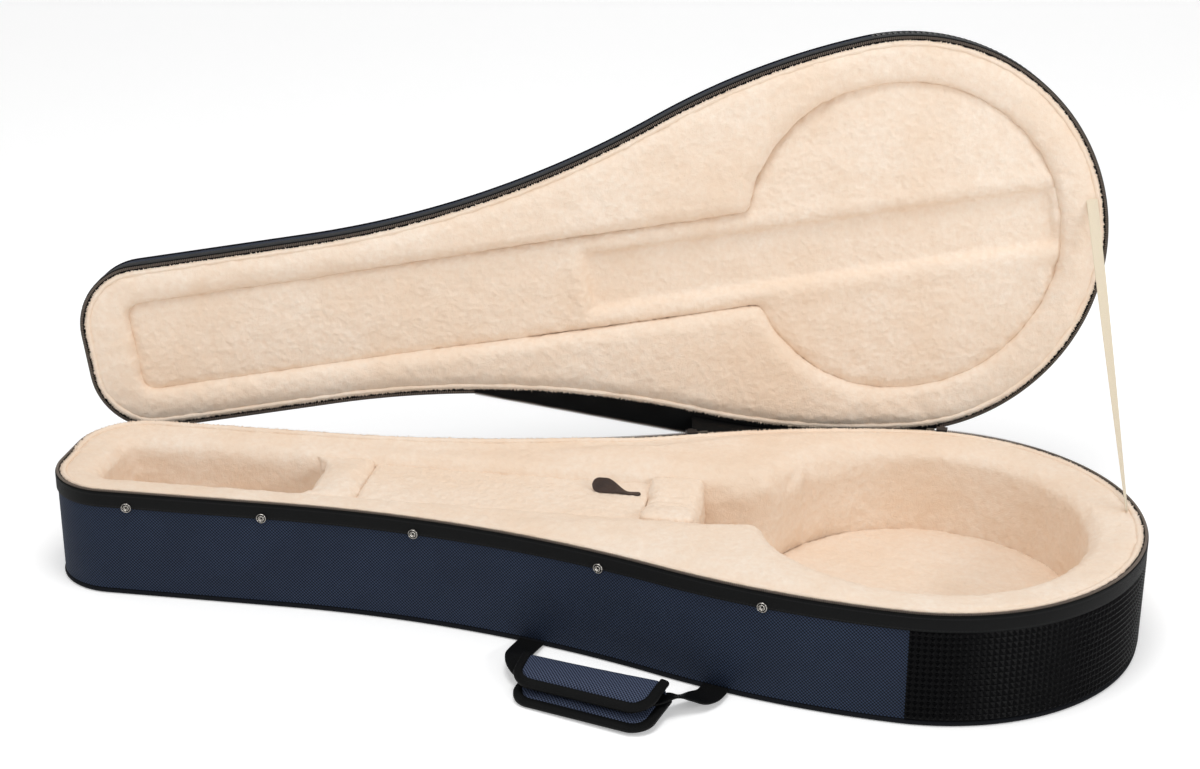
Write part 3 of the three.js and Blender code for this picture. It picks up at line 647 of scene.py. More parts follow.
# %% Sweep a section
def section(out_0, out_1, up_0, up_1, corner):
    """A closed profile, from out_0 to out_1 outwards and up_0 to up_1 upwards, in metres."""
    profile = fresh(bpy.ops.mesh.primitive_plane_add, size=1)
    profile.location = ((out_0 + out_1) / 2, (up_0 + up_1) / 2, 0)
    profile.scale = (out_1 - out_0, up_1 - up_0, 1)
    bpy.ops.object.transform_apply()
    mode("EDIT")
    bpy.ops.mesh.select_all(action="SELECT")
    bpy.ops.mesh.bevel(offset=corner, segments=3, affect="VERTICES")
    bpy.ops.mesh.delete(type="ONLY_FACE")
    mode("OBJECT")
    bpy.ops.object.convert(target="CURVE")
    return bpy.context.object


def as_curve(path):
    """The chain of edges as a curve that runs towards growing lengths."""
    only(path)
    bpy.ops.object.convert(target="CURVE")
    path = bpy.context.object
    dots = np.array([dot.co[:3] for dot in path.data.splines[0].points])
    if np.median(np.diff(along(dots))) < 0:
        mode("EDIT")
        bpy.ops.curve.select_all(action="SELECT")
        bpy.ops.curve.switch_direction()
        mode("OBJECT")
    path.data.twist_mode = "Z_UP"
    return path


def sweep(path, profile):
    """Carries the profile along the path and makes a mesh of it, with its ends closed."""
    swept = as_curve(path)
    swept.data.bevel_mode = "OBJECT"
    swept.data.bevel_object = profile
    swept.data.use_fill_caps = True
    only(swept)
    bpy.ops.object.convert(target="MESH")
    bpy.data.objects.remove(profile)
    mode("EDIT")
    weld()
    mode("OBJECT")
    return bpy.context.object


print("sections can be swept")

# %% [markdown]
# Some trims run only part of the way: the zipper stops where the cloth hinge begins. The
# closed path is cut at two places on the back, and the part between them is deleted.


# %% Cut a path open
def cut_path(path, *places):
    """Opens the path on the back, between two places along the case."""
    for x in places:
        only(path)
        pick_edges(path, lambda end: end.y > 0, "VERT")
        bpy.ops.mesh.bisect(plane_co=(x, 0, 0), plane_no=(1, 0, 0))
        mode("OBJECT")
    first, last = min(places) + 0.01 * MM, max(places) - 0.01 * MM
    for dot in path.data.vertices:
        dot.select = dot.co.y > 0 and first < dot.co.x < last
    for edge in path.data.edges:
        edge.select = False
    mode("EDIT")
    bpy.ops.mesh.delete(type="VERT")
    mode("OBJECT")
    return path


print("a path can be cut open")

# %% [markdown]
# The lid is built closed, on top of the base, and then swung open. Its hinge line touches the
# back of the head and of the shoulder, a little below the rim. The same turn is used for every
# lid piece, so that they stay in step.

# %% Swing of the lid
hinge_point = Vector((0, 0.15682, 0.0975))
hinge_line = Vector((0.988125, 0.15365, 0)).normalized()
swing = (
    Matrix.Translation(hinge_point)
    @ Matrix.Rotation(math.radians(-95), 4, hinge_line)
    @ Matrix.Translation(-hinge_point)
)
swing_rows = np.array(swing)
lid_up = swing_rows[:3, 2]


def opened(rows):
    """Where points of the closed lid are when the lid stands open."""
    return np.asarray(rows) @ swing_rows[:3, :3].T + swing_rows[:3, 3]


def closed(rows):
    """Where points of the open lid are when the lid is shut."""
    return np.asarray(rows - swing_rows[:3, 3]) @ swing_rows[:3, :3]


def put_on(shell, piece):
    """Swings a piece of the lid open; a piece of the base is in its place already."""
    if shell == "lid":
        move_points(piece, opened(points_of(piece)))
    return piece


print("the lid swings about", tuple(round(c, 3) for c in hinge_line))

# %% [markdown]
# Both shells have the same trims, at heights that mirror each other about the rim. A trim is
# given in millimetres: from where to where outwards, and from which depth below its shell's
# rim face to which.

# %% Walls, trims and piping
RIM = 110 * MM
depth_of = {"base": 110, "lid": 41}


def heights(shell, near, far):
    """Two depths in millimetres as heights, the lower one first."""
    if shell == "base":
        return RIM - far * MM, RIM - near * MM
    return RIM + near * MM, RIM + far * MM


def trim(shell, part, outwards, depths, corner, material, nodes=()):
    low_high = heights(shell, *depths)
    profile_of = (outwards[0] * MM, outwards[1] * MM, *low_high, corner * MM)
    piece = sweep(draw_outline(), section(*profile_of))
    lay_on_wall(piece)
    put_on(shell, piece)
    settle(piece, shell + part, shell, material, [shell + node for node in nodes])


for shell, depth in depth_of.items():
    wall, foot = (3.3, depth - 5.3), (depth - 5, depth)
    trim(shell, "_wall_cloth", (-4, 0), wall, 0.4, blue_cloth, ["_side_wall"])
    trim(shell, "_rim_band", (0.3, 1.5), (3.3, 18.3), 0.5, rim_tape, ["_rim_tape"])
    trim(shell, "_zipper_tape", (-4.2, 1.4), (2.6, 3.4), 0.3, plain_tape)
    trim(
        shell, "_bottom_piping", (-4, 1), foot, 2.2, piping_cloth, ["_edge_piping"]
    )
    panel = frame["nodes"][shell + "_outer_panel"]
    panel.data.materials.clear()
    panel.data.materials.append(panel_cloth)

# %% [markdown]
# A zipper coil is one small tooth, hundreds of times. The tooth is a rounded block that lies
# across the rim. An Array repeats it along x, and a Curve modifier bends the whole row along
# the path, so the spacing stays even round every corner.

# %% Zipper teeth
TOOTH_PITCH, TOOTH_WIDE, TOOTH_TALL = 1.9 * MM, 1.1 * MM, 1.9 * MM
COIL_FROM, COIL_OFF = 324 * MM, 1.6 * MM


def repeat(first, pitch, count):
    """Makes a row of copies along x."""
    finish_with(
        first, "ARRAY", fit_type="FIXED_COUNT", count=count, use_relative_offset=False,
        use_constant_offset=True, constant_offset_displace=(pitch, 0, 0),
    )


def bend(row, path):
    """Lays the row along the path, which isn't needed any more."""
    finish_with(row, "CURVE", object=path, deform_axis="POS_X")
    bpy.data.objects.remove(path)


def row_of_teeth(path, across, out):
    """Teeth along a path; across is their length, and out places their middle."""
    path = as_curve(path)
    length = path.data.splines[0].calc_length()
    middle = (TOOTH_PITCH / 2, -out, 0)
    row = fresh(bpy.ops.mesh.primitive_cube_add, size=1, location=middle)
    row.scale = (TOOTH_WIDE, across, TOOTH_TALL)
    bpy.ops.object.transform_apply()
    mode("EDIT")
    bpy.ops.mesh.select_all(action="SELECT")
    bpy.ops.mesh.bevel(offset=0.33 * MM, segments=1)
    mode("OBJECT")
    repeat(row, TOOTH_PITCH, int(length / TOOTH_PITCH))
    bend(row, path)
    return row


for shell, last_x, up in (("base", 88, RIM - COIL_OFF), ("lid", -135, RIM + COIL_OFF)):
    path = cut_path(draw_outline(up), COIL_FROM, last_x * MM)
    teeth = put_on(shell, row_of_teeth(path, 2.6 * MM, -0.7 * MM))
    coil = [shell + "_zipper_coil"]
    settle(teeth, shell + "_zipper_teeth", shell, coil_nylon, coil)

# %% [markdown]
# The vinyl on the heel is pressed into rows of pyramids. A point is spun round the heel, the
# chain is pulled up into rows of squares, and every square is poked: its middle comes out and
# makes four slopes.

# %% Pyramid vinyl
PYRAMID, SEAM_X = 5.6 * MM, 311 * MM
UNDER_BAND, OVER_PIPING = 18.6, 5.6  # millimetres from the rim, and from the foot


def pyramids(foot, top):
    """A field of pyramids round the heel, from seam to seam, between two heights."""
    half_turn = math.acos((SEAM_X - heel_x) / heel_r)
    r = heel_r + 0.5 * MM
    seam = (heel_x + r * math.cos(half_turn), -r * math.sin(half_turn), foot)
    field = start_chain(*seam)
    spin(round(2 * r * half_turn / PYRAMID), -2 * half_turn, heel_x, 0, foot)
    bpy.ops.mesh.select_all(action="SELECT")
    rows = round((top - foot) / PYRAMID)
    for _ in range(rows):
        extrude(0, 0, (top - foot) / rows)
    weld()
    bpy.ops.mesh.select_mode(type="FACE")
    bpy.ops.mesh.inset(thickness=0.25 * MM, use_individual=True)
    bpy.ops.mesh.poke(offset=1.5 * MM)
    mode("OBJECT")
    outward = points_of(field)[:, :2] - (heel_x, 0)
    reach = float(np.hypot(*outward.T).max() - heel_r)
    print("  pyramid tips reach", round(reach / MM, 2), "mm out")
    finish_with(field, "SOLIDIFY", thickness=0.4 * MM, offset=-1)
    return field


for shell, depth in depth_of.items():
    field = put_on(shell, pyramids(*heights(shell, UNDER_BAND, depth - OVER_PIPING)))
    patch = [shell + "_heel_patch"]
    settle(field, shell + "_pyramid_vinyl", shell, vinyl, patch, 8)

# %% [markdown]
# The linings are foam blocks with plush glued over them. Each starts as a welded copy of its
# solid. A voxel remesh turns it into small even squares, so that it can behave as cloth, and a
# short cloth simulation blows it up a little: flats become crowned and edges turn soft. The
# swelling is capped, because foam that is glued into a shell can't go far.

# %% Soft copies
PRESSURE, FRAMES = 3, 20
PANEL_ROOM = 3.3  # millimetres of a shell's depth


def copy_of(node):
    """A welded copy of a solid."""
    piece = frame["nodes"][node].copy()
    piece.data = piece.data.copy()
    piece.parent = None
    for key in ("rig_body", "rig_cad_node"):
        del piece[key]
    bpy.context.scene.collection.objects.link(piece)
    only(piece)
    mode("EDIT")
    weld(outwards=False)
    mode("OBJECT")
    return piece


def swell(piece, cap, room=None):
    """Blows the piece up as cloth; room is how much of the movement each point may keep."""
    before = points_of(piece)
    only(piece)
    bpy.ops.object.modifier_add(type="CLOTH")
    cloth = piece.modifiers[-1]
    cloth.settings.quality = 3
    cloth.settings.use_pressure = True
    cloth.settings.uniform_pressure_force = PRESSURE
    cloth.settings.effector_weights.gravity = 0
    cloth.collision_settings.use_collision = False
    for step in range(1, FRAMES + 1):
        bpy.context.scene.frame_set(step)
    bpy.ops.object.modifier_apply(modifier=cloth.name)
    bpy.context.scene.frame_set(1)
    move = points_of(piece) - before
    reach = np.linalg.norm(move, axis=1, keepdims=True)
    move *= np.minimum(1, cap * MM / np.maximum(reach, 1e-9))
    if room is not None:
        move *= room[:, None]
    move_points(piece, before + move)
    furthest = float(np.linalg.norm(move, axis=1).max())
    print("  swelled by up to", round(furthest / MM, 1), "mm")


def tufts(piece, size, height):
    """Raises the surface unevenly, in lumps of one size; both are in millimetres."""
    lumps = bpy.data.textures.new("pile_lumps", "CLOUDS")
    lumps.noise_scale, lumps.noise_depth = size * MM, 1
    strength = {"strength": height * MM, "mid_level": 0.5}
    finish_with(piece, "DISPLACE", texture=lumps, texture_coords="LOCAL", **strength)
    bpy.data.textures.remove(lumps)


def soften(piece, voxel, cap, rounds, spread, room_of=None, flat_way=(0, 0, 1)):
    """Remeshes, spreads sideways, swells and tufts a piece; sizes are in millimetres."""
    finish_with(piece, "REMESH", mode="VOXEL", voxel_size=voxel * MM)
    finish_with(piece, "SMOOTH", factor=0.5, iterations=rounds)
    facing = np.empty(len(piece.data.vertices) * 3)
    piece.data.vertices.foreach_get("normal", facing)
    sideways = facing.reshape(-1, 3)
    sideways -= np.outer(sideways @ flat_way, flat_way)
    rows = points_of(piece) + sideways * (spread * MM)
    move_points(piece, rows)
    swell(piece, cap, room_of and room_of(rows))
    finish_with(piece, "SUBSURF", levels=1, render_levels=1)
    tufts(piece, size=20, height=1.8)
    tufts(piece, size=4.5, height=1.5)
    return piece


def hold_in(piece, shell):
    """Keeps the foam off the panel that closes its shell."""
    rows = points_of(piece)
    panel_face = (depth_of[shell] - PANEL_ROOM) * MM
    if shell == "lid":
        rows = closed(rows)
        rows[:, 2] = np.minimum(rows[:, 2], RIM + panel_face)
        rows = opened(rows)
    else:
        rows[:, 2] = np.maximum(rows[:, 2], RIM - panel_face)
    move_points(piece, rows)


def inset_of(rows):
    """How far points are inside the outline."""
    x, y = rows[:, 0], np.abs(rows[:, 1])
    from_heel = heel_r - np.hypot(x - heel_x, y)
    from_shoulder = shoulder_r - np.hypot(x - shoulder_x, y - shoulder_y)
    from_waist = np.hypot(x - waist_x, y - waist_y) - waist_r
    from_corner = corner_r - np.hypot(x - corner_x, y - corner_y)
    in_corner = (x < corner_x) & (y > corner_y)
    straight = np.minimum(head_half - y, x - end_x)
    return np.select(
        [*on_arcs(x, y), x > waist_x, in_corner],
        [from_heel, from_shoulder, from_waist, from_corner],
        straight,
    )


print("solids can be copied, softened and tufted")

# %% [markdown]
# The base has a frame all round, four blocks in its long slot and a pad in its round well. The
# frame may not swell towards the wall, so its room grows from nothing at the wall to all of it
# 12 mm further in. Towards the head, the back of the frame bulges above the rim.

# %% Base linings
STIFF_EDGE, ROOM_OVER = 5 * MM, 12 * MM
BULGE, BULGE_WIDE, BULGE_DEEP = 3.5 * MM, 24 * MM, 12 * MM
BULGE_FROM, BULGE_OVER = 30 * MM, 60 * MM


def room_inside(rows):
    """The share of the swelling that each point may keep."""
    return np.clip((inset_of(rows) - STIFF_EDGE) / ROOM_OVER, 0, 1)


def raise_back(piece):
    """Raises the lining's edge at the back, from behind the compartment to the head."""
    rows = points_of(piece)
    at_back = (rows[:, 1] > 0) & (rows[:, 2] > RIM - BULGE_DEEP)
    near_edge = np.clip(1 - inset_of(rows) / BULGE_WIDE, 0, 1)
    to_head = np.clip((BULGE_FROM - rows[:, 0]) / BULGE_OVER, 0, 1)
    rows[:, 2] += BULGE * at_back * near_edge * to_head
    move_points(piece, rows)


base_frame = copy_of("base_lining_frame")
soften(base_frame, voxel=6, cap=2.5, rounds=5, spread=2.5, room_of=room_inside)
hold_in(base_frame, "base")
raise_back(base_frame)
settle(base_frame, "base_plush_frame", "base", plush, ["base_lining_frame"], ALL_SMOOTH)
blocks = {  # voxel, cap, rounds of smoothing and spread
    "head_well_pad": (3.5, 2, 3, 1),
    "head_rest_block": (3.5, 2.5, 3, 1),
    "accessory_box": (4.5, 1, 3, 1),
    "yoke_block": (3, 2, 3, 1.8),
    "pot_well_pad": (4.5, 3, 3, 3.5),
}
for node, voxel_cap_rounds_spread in blocks.items():
    block = soften(copy_of(node), *voxel_cap_rounds_spread)
    hold_in(block, "base")
    settle(block, node + "_plush", "base", plush, [node], ALL_SMOOTH)

# %% [markdown]
# The lid has a frame as well, and a floor that lies deeper. A channel for the neck is pressed
# into the floor before it is softened, with a rolled edge along it. The accessory compartment
# has a soft lid of its own.

# %% Lid linings
CHANNEL_HALF, CHANNEL_FROM, CHANNEL_TO = 32 * MM, -5 * MM, 472 * MM
CHANNEL_DEEP, CHANNEL_SLOPE = 4 * MM, 5 * MM
ROLL_HIGH, ROLL_OUT, ROLL_WIDE = 1.6 * MM, 9 * MM, 6 * MM
FLOOR_FACE = 18 * MM


def room_in_lid(rows):
    return room_inside(closed(rows))


def eased(share):
    """A share from 0 to 1 that starts and ends softly."""
    share = np.clip(share, 0, 1)
    return share * share * (3 - 2 * share)


def press_channel(piece):
    """Presses the neck channel deeper, with a rolled edge beside it."""
    rows = closed(points_of(piece))
    from_side = CHANNEL_HALF - np.abs(rows[:, 1])
    from_ends = np.minimum(rows[:, 0] - CHANNEL_FROM, CHANNEL_TO - rows[:, 0])
    inside = np.minimum(from_side, from_ends)
    near_face = rows[:, 2] < RIM + FLOOR_FACE
    pressed = CHANNEL_DEEP * eased(inside / CHANNEL_SLOPE + 0.6)
    rolled = ROLL_HIGH * np.exp(-(((inside + ROLL_OUT) / ROLL_WIDE) ** 2))
    rows[:, 2] += near_face * (pressed - rolled)
    move_points(piece, opened(rows))


lid_frame = copy_of("lid_lining_frame")
soften(lid_frame, 4.5, cap=2.5, rounds=4, spread=2.5, room_of=room_in_lid, flat_way=lid_up)
hold_in(lid_frame, "lid")
settle(lid_frame, "lid_plush_frame", "lid", plush, ["lid_lining_frame"], ALL_SMOOTH)
lid_floor = copy_of("lid_floor_pad")
finish_with(lid_floor, "REMESH", mode="VOXEL", voxel_size=3.4 * MM)
press_channel(lid_floor)
soften(lid_floor, voxel=3.6, cap=2, rounds=2, spread=3, flat_way=lid_up)
hold_in(lid_floor, "lid")
settle(lid_floor, "lid_plush_floor", "lid", plush, ["lid_floor_pad"], ALL_SMOOTH)
node = "compartment_lid"
compartment = soften(copy_of(node), voxel=3, cap=1.5, rounds=2, spread=0.7)
settle(compartment, "compartment_plush_lid", node, plush, [node], ALL_SMOOTH)

# %% [markdown]
# Plush frays where it is cut. Along both rims a fringe of loose tufts hangs over the zipper.
# A tuft is a small cone; an Array makes the row, each tuft then gets its own size and lean
# from random numbers, and the Curve modifier lays the row round the rim. Behind the fringe a
# soft roll fills the corner between lining and zipper.

# %% Fringe of the plush
TUFT_PITCH = 0.75 * MM
TUFT_WIDE, TUFT_LONG = (0.7, 1.3), (1.4, 2.8)  # shares of the cone, from least to most
TUFT_LEAN, TUFT_TURN = (0.5, 1.3), (-0.5, 0.5)  # radians, over the zipper and sideways
TUFT_STRAY = (-1.0 * MM, 1.0 * MM)
TUFT_IN, TUFT_ROOT = 5.2 * MM, 2.4 * MM


def place_soft(shell, piece):
    """Puts a soft piece on its shell, where that of the base follows the raised back."""
    put_on(shell, piece)
    if shell == "base":
        raise_back(piece)


def plush_roll(shell):
    """The roll that fills the corner between lining and zipper."""
    profile = section(-9.5 * MM, -3.9 * MM, *heights(shell, 0.8, 9), 2.6 * MM)
    roll = sweep(draw_outline(), profile)
    place_soft(shell, roll)
    finish_with(roll, "SUBSURF", levels=1, render_levels=1)
    tufts(roll, size=12, height=1.4)
    tufts(roll, size=5, height=0.9)
    settle(roll, shell + "_plush_roll", shell, plush, [], ALL_SMOOTH)


def fringe(shell, seed):
    """A row of loose tufts round the rim."""
    cone = {"vertices": 5, "radius1": 1.1 * MM, "depth": 1 * MM, "end_fill_type": "NOTHING"}
    row = fresh(bpy.ops.mesh.primitive_cone_add, **cone)
    tuft_points = len(row.data.vertices)
    path = as_curve(draw_outline())
    count = int(path.data.splines[0].calc_length() / TUFT_PITCH)
    repeat(row, TUFT_PITCH, count)
    rows = points_of(row).reshape(count, tuft_points, 3)
    start = np.arange(count) * TUFT_PITCH
    rows[:, :, 0] -= start[:, None]
    luck = np.random.default_rng(seed)
    rows[:, :, 2] += 0.5 * MM
    rows[:, :, :2] *= luck.uniform(*TUFT_WIDE, (count, 1, 1))
    rows[:, :, 2] *= luck.uniform(*TUFT_LONG, (count, 1))
    lean, side = luck.uniform(*TUFT_LEAN, (count, 1)), luck.uniform(*TUFT_TURN, (count, 1))
    tall, flat = rows[:, :, 2].copy(), rows[:, :, 1].copy()
    rows[:, :, 2] = tall * np.cos(lean) + flat * np.sin(lean)
    rows[:, :, 1] = flat * np.cos(lean) - tall * np.sin(lean)
    rows[:, :, 0] += tall * np.sin(side) + start[:, None]
    way = 1 if shell == "base" else -1
    rows[:, :, 1] += luck.uniform(*TUFT_STRAY, (count, 1)) + TUFT_IN
    rows[:, :, 2] = RIM + way * (rows[:, :, 2] - TUFT_ROOT)
    move_points(row, rows.reshape(-1, 3))
    bend(row, path)
    place_soft(shell, row)
    settle(row, shell + "_plush_fringe", shell, plush, [], ALL_SMOOTH)


for seed, shell in enumerate(depth_of):
    plush_roll(shell)
    fringe(shell, seed)

# %% [markdown]
# Flat cloth is drawn as a grid whose points are then placed by a rule. Each point has two
# shares, from 0 to 1: one along the piece and one across it. The rule may follow the outline,
# a fold or a twist, and a Solidify modifier gives the cloth its thickness.


# %% Cloth from a grid
def cloth_grid(lengthwise, crosswise, thickness, rule, size):
    """rule(s, t) gives the points; size is the flat length and width, for the weave."""
    cuts = {"x_subdivisions": lengthwise, "y_subdivisions": crosswise}
    piece = fresh(bpy.ops.mesh.primitive_grid_add, size=1, **cuts)
    shares = points_of(piece)[:, :2] + 0.5
    lay_cloth(piece, shares[:, 0] * size[0], shares[:, 1] * size[1])
    move_points(piece, rule(shares[:, 0], shares[:, 1]))
    if thickness:
        finish_with(piece, "SOLIDIFY", thickness=thickness, offset=0)
    return piece


def smooth_path(knots, share):
    """A smooth line through rows of numbers, at shares from 0 to 1."""
    knots = np.asarray(knots, float)
    padded = np.vstack([2 * knots[0] - knots[1], knots, 2 * knots[-1] - knots[-2]])
    place = np.clip(share, 0, 1) * (len(knots) - 1)
    first = np.minimum(place.astype(int), len(knots) - 2)
    t = (place - first)[:, None]
    a, b, c, d = (padded[first + i] for i in range(4))
    return 0.5 * (
        2 * b + (c - a) * t + (2 * a - 5 * b + 4 * c - d) * t**2 + (3 * b - a - 3 * c + d) * t**3
    )


def length_of(dots):
    return float(np.linalg.norm(np.diff(dots, axis=0), axis=1).sum())


def round_edges(piece, width):
    finish_with(piece, "BEVEL", width=width, segments=2, limit_method="ANGLE")


def strap(knots, width, thickness, steps):
    """A flat strap; a knot is its middle and the direction across it, six numbers."""

    def rule(s, t):
        rows = smooth_path(knots, s)
        across = rows[:, 3:] / np.linalg.norm(rows[:, 3:], axis=1, keepdims=True)
        return rows[:, :3] + across * ((t - 0.5) * width)[:, None]

    length = length_of(smooth_path(knots, np.linspace(0, 1, 100))[:, :3])
    piece = cloth_grid(steps, 6, thickness, rule, (length, width))
    round_edges(piece, thickness * 0.35)
    return piece


def back_edge(x, out):
    """Points of the outline's back half at places along the case, moved outwards."""
    x = np.asarray(x, float)
    arcs = [x > heel_end, x > shoulder_end]
    centre_x = np.select(arcs, [heel_x, shoulder_x], waist_x)
    centre_y = np.select(arcs, [0, shoulder_y], waist_y)
    radius = np.select(arcs, [heel_r, shoulder_r], waist_r)
    side = np.where(centre_y > 0, -1, 1)
    rise = np.sqrt(radius**2 - (x - centre_x) ** 2) * side
    spot = np.stack([x, centre_y + rise], 1)
    normal = np.stack([x - centre_x, rise], 1) / (radius * side)[:, None]
    return spot + normal * np.asarray(out)[..., None]


def outwards_at(x):
    """The level direction that points straight out of the back wall."""
    edge, further = back_edge([x, x], [0, 1])
    return Vector((*(further - edge), 0)).normalized()


print("cloth can be laid by a rule")

# %% [markdown]
# At the waist the lid's zipper tape leaves the wall and is drawn straight to the end of the
# zipper, so a thin black triangle of tape fills the hollow. Its free edge carries teeth.

# %% Zipper web
web_from, web_to = -135 * MM, 93 * MM
corner_out, tip_out, seam_in = 1 * MM, 20 * MM, 3 * MM
web_z = RIM + 2.4 * MM
web_line = np.vstack([back_edge([web_from], [corner_out]), back_edge([web_to], [tip_out])])


def web_rule(s, t):
    inner = back_edge(web_from + (web_to - web_from) * s, -seam_in)
    outer = web_line[0] + (web_line[1] - web_line[0]) * s[:, None]
    flat = inner + (outer - inner) * t[:, None]
    ripple = 0.7 * MM * np.sin(34 * s) * t * (1 - t) * 4
    return np.column_stack([flat, web_z + ripple])


web = put_on("lid", cloth_grid(60, 6, 1.2 * MM, web_rule, (0.225, 0.03)))
settle(web, "waist_zipper_web", "lid", plain_tape, ["zipper_web"])
edge_line = start_chain(*web_line[0], web_z)
extrude(*(web_line[1] - web_line[0]), 0)
mode("OBJECT")
web_teeth = put_on("lid", row_of_teeth(edge_line, 2.8 * MM, 0))
settle(web_teeth, "waist_web_teeth", "lid", coil_nylon, [])

# %% [markdown]
# The lid hangs on a strip of cloth that is sewn to both rims along the shoulder. It starts
# under the lid's rim, goes round the fold of the hinge, and ends on the band of the base.

# %% Hinge cloth
gusset_from, gusset_to = 322 * MM, 82.5 * MM
gusset_knots = [  # outwards and up in millimetres, and the share that swings with the lid
    (-3, 113.7, 1), (0.5, 113.7, 1), (2.3, 113.7, 1),
    (2.8, 105.0, 0.5), (2.2, 97.5, 0), (2.1, 93.2, 0),
]


def gusset_rule(s, t):
    out, up, weight = smooth_path(gusset_knots, t).T
    lip = back_edge(gusset_from + (gusset_to - gusset_from) * s, out * MM)
    flat = np.column_stack([lip, up * MM])
    weight = np.clip(weight, 0, 1)[:, None]
    return flat * (1 - weight) + opened(flat) * weight


gusset = cloth_grid(80, 20, 0.9 * MM, gusset_rule, (0.236, 0.03))
settle(gusset, "hinge_cloth", None, plain_tape, ["hinge_gusset"], 60)
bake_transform(gusset)

# %% [markdown]
# A cream tape stops the lid at its widest opening. It is sewn to both linings at the heel, and
# it turns by 75 degrees on its way, because its two ends were sewn to different sides.

# %% Stay tape
tape_reach = heel_r - 13.5 * MM
tape_ends = []
for degrees, level in ((9.6, RIM - 0.2 * MM), (-4.3, RIM + 0.2 * MM)):
    angle = math.radians(degrees)
    x, y = heel_x + tape_reach * math.cos(angle), tape_reach * math.sin(angle)
    tape_ends.append([x, y, level])
tape_foot = Vector(tape_ends[0])
tape_head = Vector(opened([tape_ends[1]])[0])
tape_way = (tape_head - tape_foot).normalized()
tape_wide = (Vector((1, 0, 0)) - tape_way * tape_way.x).normalized()
tape_knots = []
for step in range(11):
    share = step / 10
    turned = Matrix.Rotation(math.radians(75) * (1 - share), 3, tape_way) @ tape_wide
    tape_knots.append([*tape_foot.lerp(tape_head, share), *turned])
stay = strap(tape_knots, 11 * MM, 0.8 * MM, 60)
settle(stay, "stay_tape_weave", None, stay_weave, ["stay_tape"])
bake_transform(stay)

# %% [markdown]
# Five rivets hold the front of the rim. Each is turned from one profile: a hollow middle, a
# round bead, a groove and an outer bead. One is spun, and the others are copies of it.

# %% Rim rivets
rivet_profile = [  # from the middle outwards, and up, in millimetres
    (0.0, 0.35), (1.1, 0.35), (1.75, 0.7), (2.0, 1.6), (2.35, 1.95), (2.75, 1.8), (3.05, 1.3),
    (3.25, 0.8), (3.6, 0.75), (3.8, 1.25), (4.15, 1.55), (4.6, 1.35), (4.9, 0.8), (4.9, 0.0),
]
rivet = start_chain(0, 0, rivet_profile[0][1] * MM)
for (r_0, h_0), (r_1, h_1) in zip(rivet_profile, rivet_profile[1:]):
    extrude((r_1 - r_0) * MM, 0, (h_1 - h_0) * MM)
bpy.ops.mesh.select_all(action="SELECT")
spin(28, 2 * math.pi, 0, 0, 0)
weld()
mode("OBJECT")
from_middle = np.hypot(*points_of(rivet)[:, :2].T)
lay_cloth(rivet, from_middle, 0 * from_middle)
for number in range(1, 6):
    node = "rim_stud_" + str(number)
    low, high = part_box(node)
    middle = (low + high) / 2
    normal = outwards_at(middle.x)
    normal.y = -normal.y
    copy = rivet.copy()
    copy.data = rivet.data.copy()
    bpy.context.scene.collection.objects.link(copy)
    facing = normal.to_track_quat("Z", "X").to_matrix().to_4x4()
    copy.matrix_world = Matrix.Translation(middle - normal * 1.2 * MM) @ facing
    settle(copy, "rim_rivet_" + str(number), "base", nickel, [node], 50)
bpy.data.objects.remove(rivet)

# %% [markdown]
# The compartment opens by a leather tab: a narrow neck that is sewn down, and a wide rounded
# end. Fingers have curled the end up, so it stands on one edge and shows its face.

# %% Leather tab
tab_low, tab_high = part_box("pull_tab")
tab_y = (tab_low.y + tab_high.y) / 2
tab_length, tab_neck, tab_wide, tab_seam = 48 * MM, 2.5 * MM, 7.5 * MM, 3.4 * MM
straight_neck, flare_over, sewn_over = 11 * MM, 24 * MM, 7 * MM
tab_lift, tab_tilt = 2.3 * MM, math.radians(52)


def tab_rule(s, t):
    d = s * tab_length
    flare = eased((d - straight_neck) / flare_over)
    sewn_bulge = 1.1 * MM * np.exp(-((d / sewn_over) ** 2))
    half = tab_neck + (tab_wide - tab_neck) * flare + sewn_bulge
    for from_end, radius in ((d, tab_seam), (tab_length - d, tab_wide)):
        rounded = np.sqrt(np.maximum(radius**2 - (radius - from_end) ** 2, 1e-9))
        half = np.where(from_end < radius, np.minimum(rounded, half), half)
    tilt = tab_tilt * flare
    middle_z = tab_low.z + tab_lift + tab_wide * 0.8 * np.sin(tilt)
    across = (t - 0.5) * 2 * half
    y = tab_y - 2 * MM + 4 * MM * flare + across * np.cos(tilt)
    return np.column_stack([tab_high.x - d, y, middle_z + across * np.sin(tilt)])


tab = cloth_grid(48, 10, 1.3 * MM, tab_rule, (0.048, 0.015))
round_edges(tab, 0.35 * MM)
settle(tab, "leather_pull_tab", "pull_tab", leather, ["pull_tab"])

# %% [markdown]
# Sliders and end tabs are small and rigid, so their solids are right as they are. A live bevel
# rounds their edges, and a pull with a slot hangs from each slider.

# %% Sliders, pulls and end tabs
PULL_WIDE, PULL_LONG, PULL_BAND = 5 * MM, 24 * MM, 1.4 * MM

for kind, material in {"zipper_slider_": dark_metal, "zipper_end_tab_": grey_tape}.items():
    for end in ("heel", "waist"):
        solid = frame["nodes"][kind + end]
        solid.data.materials.clear()
        solid.data.materials.append(material)
        rounding = solid.modifiers.new("rounding", "BEVEL")
        rounding.width = 0.3 * MM
        rounding.segments = 2

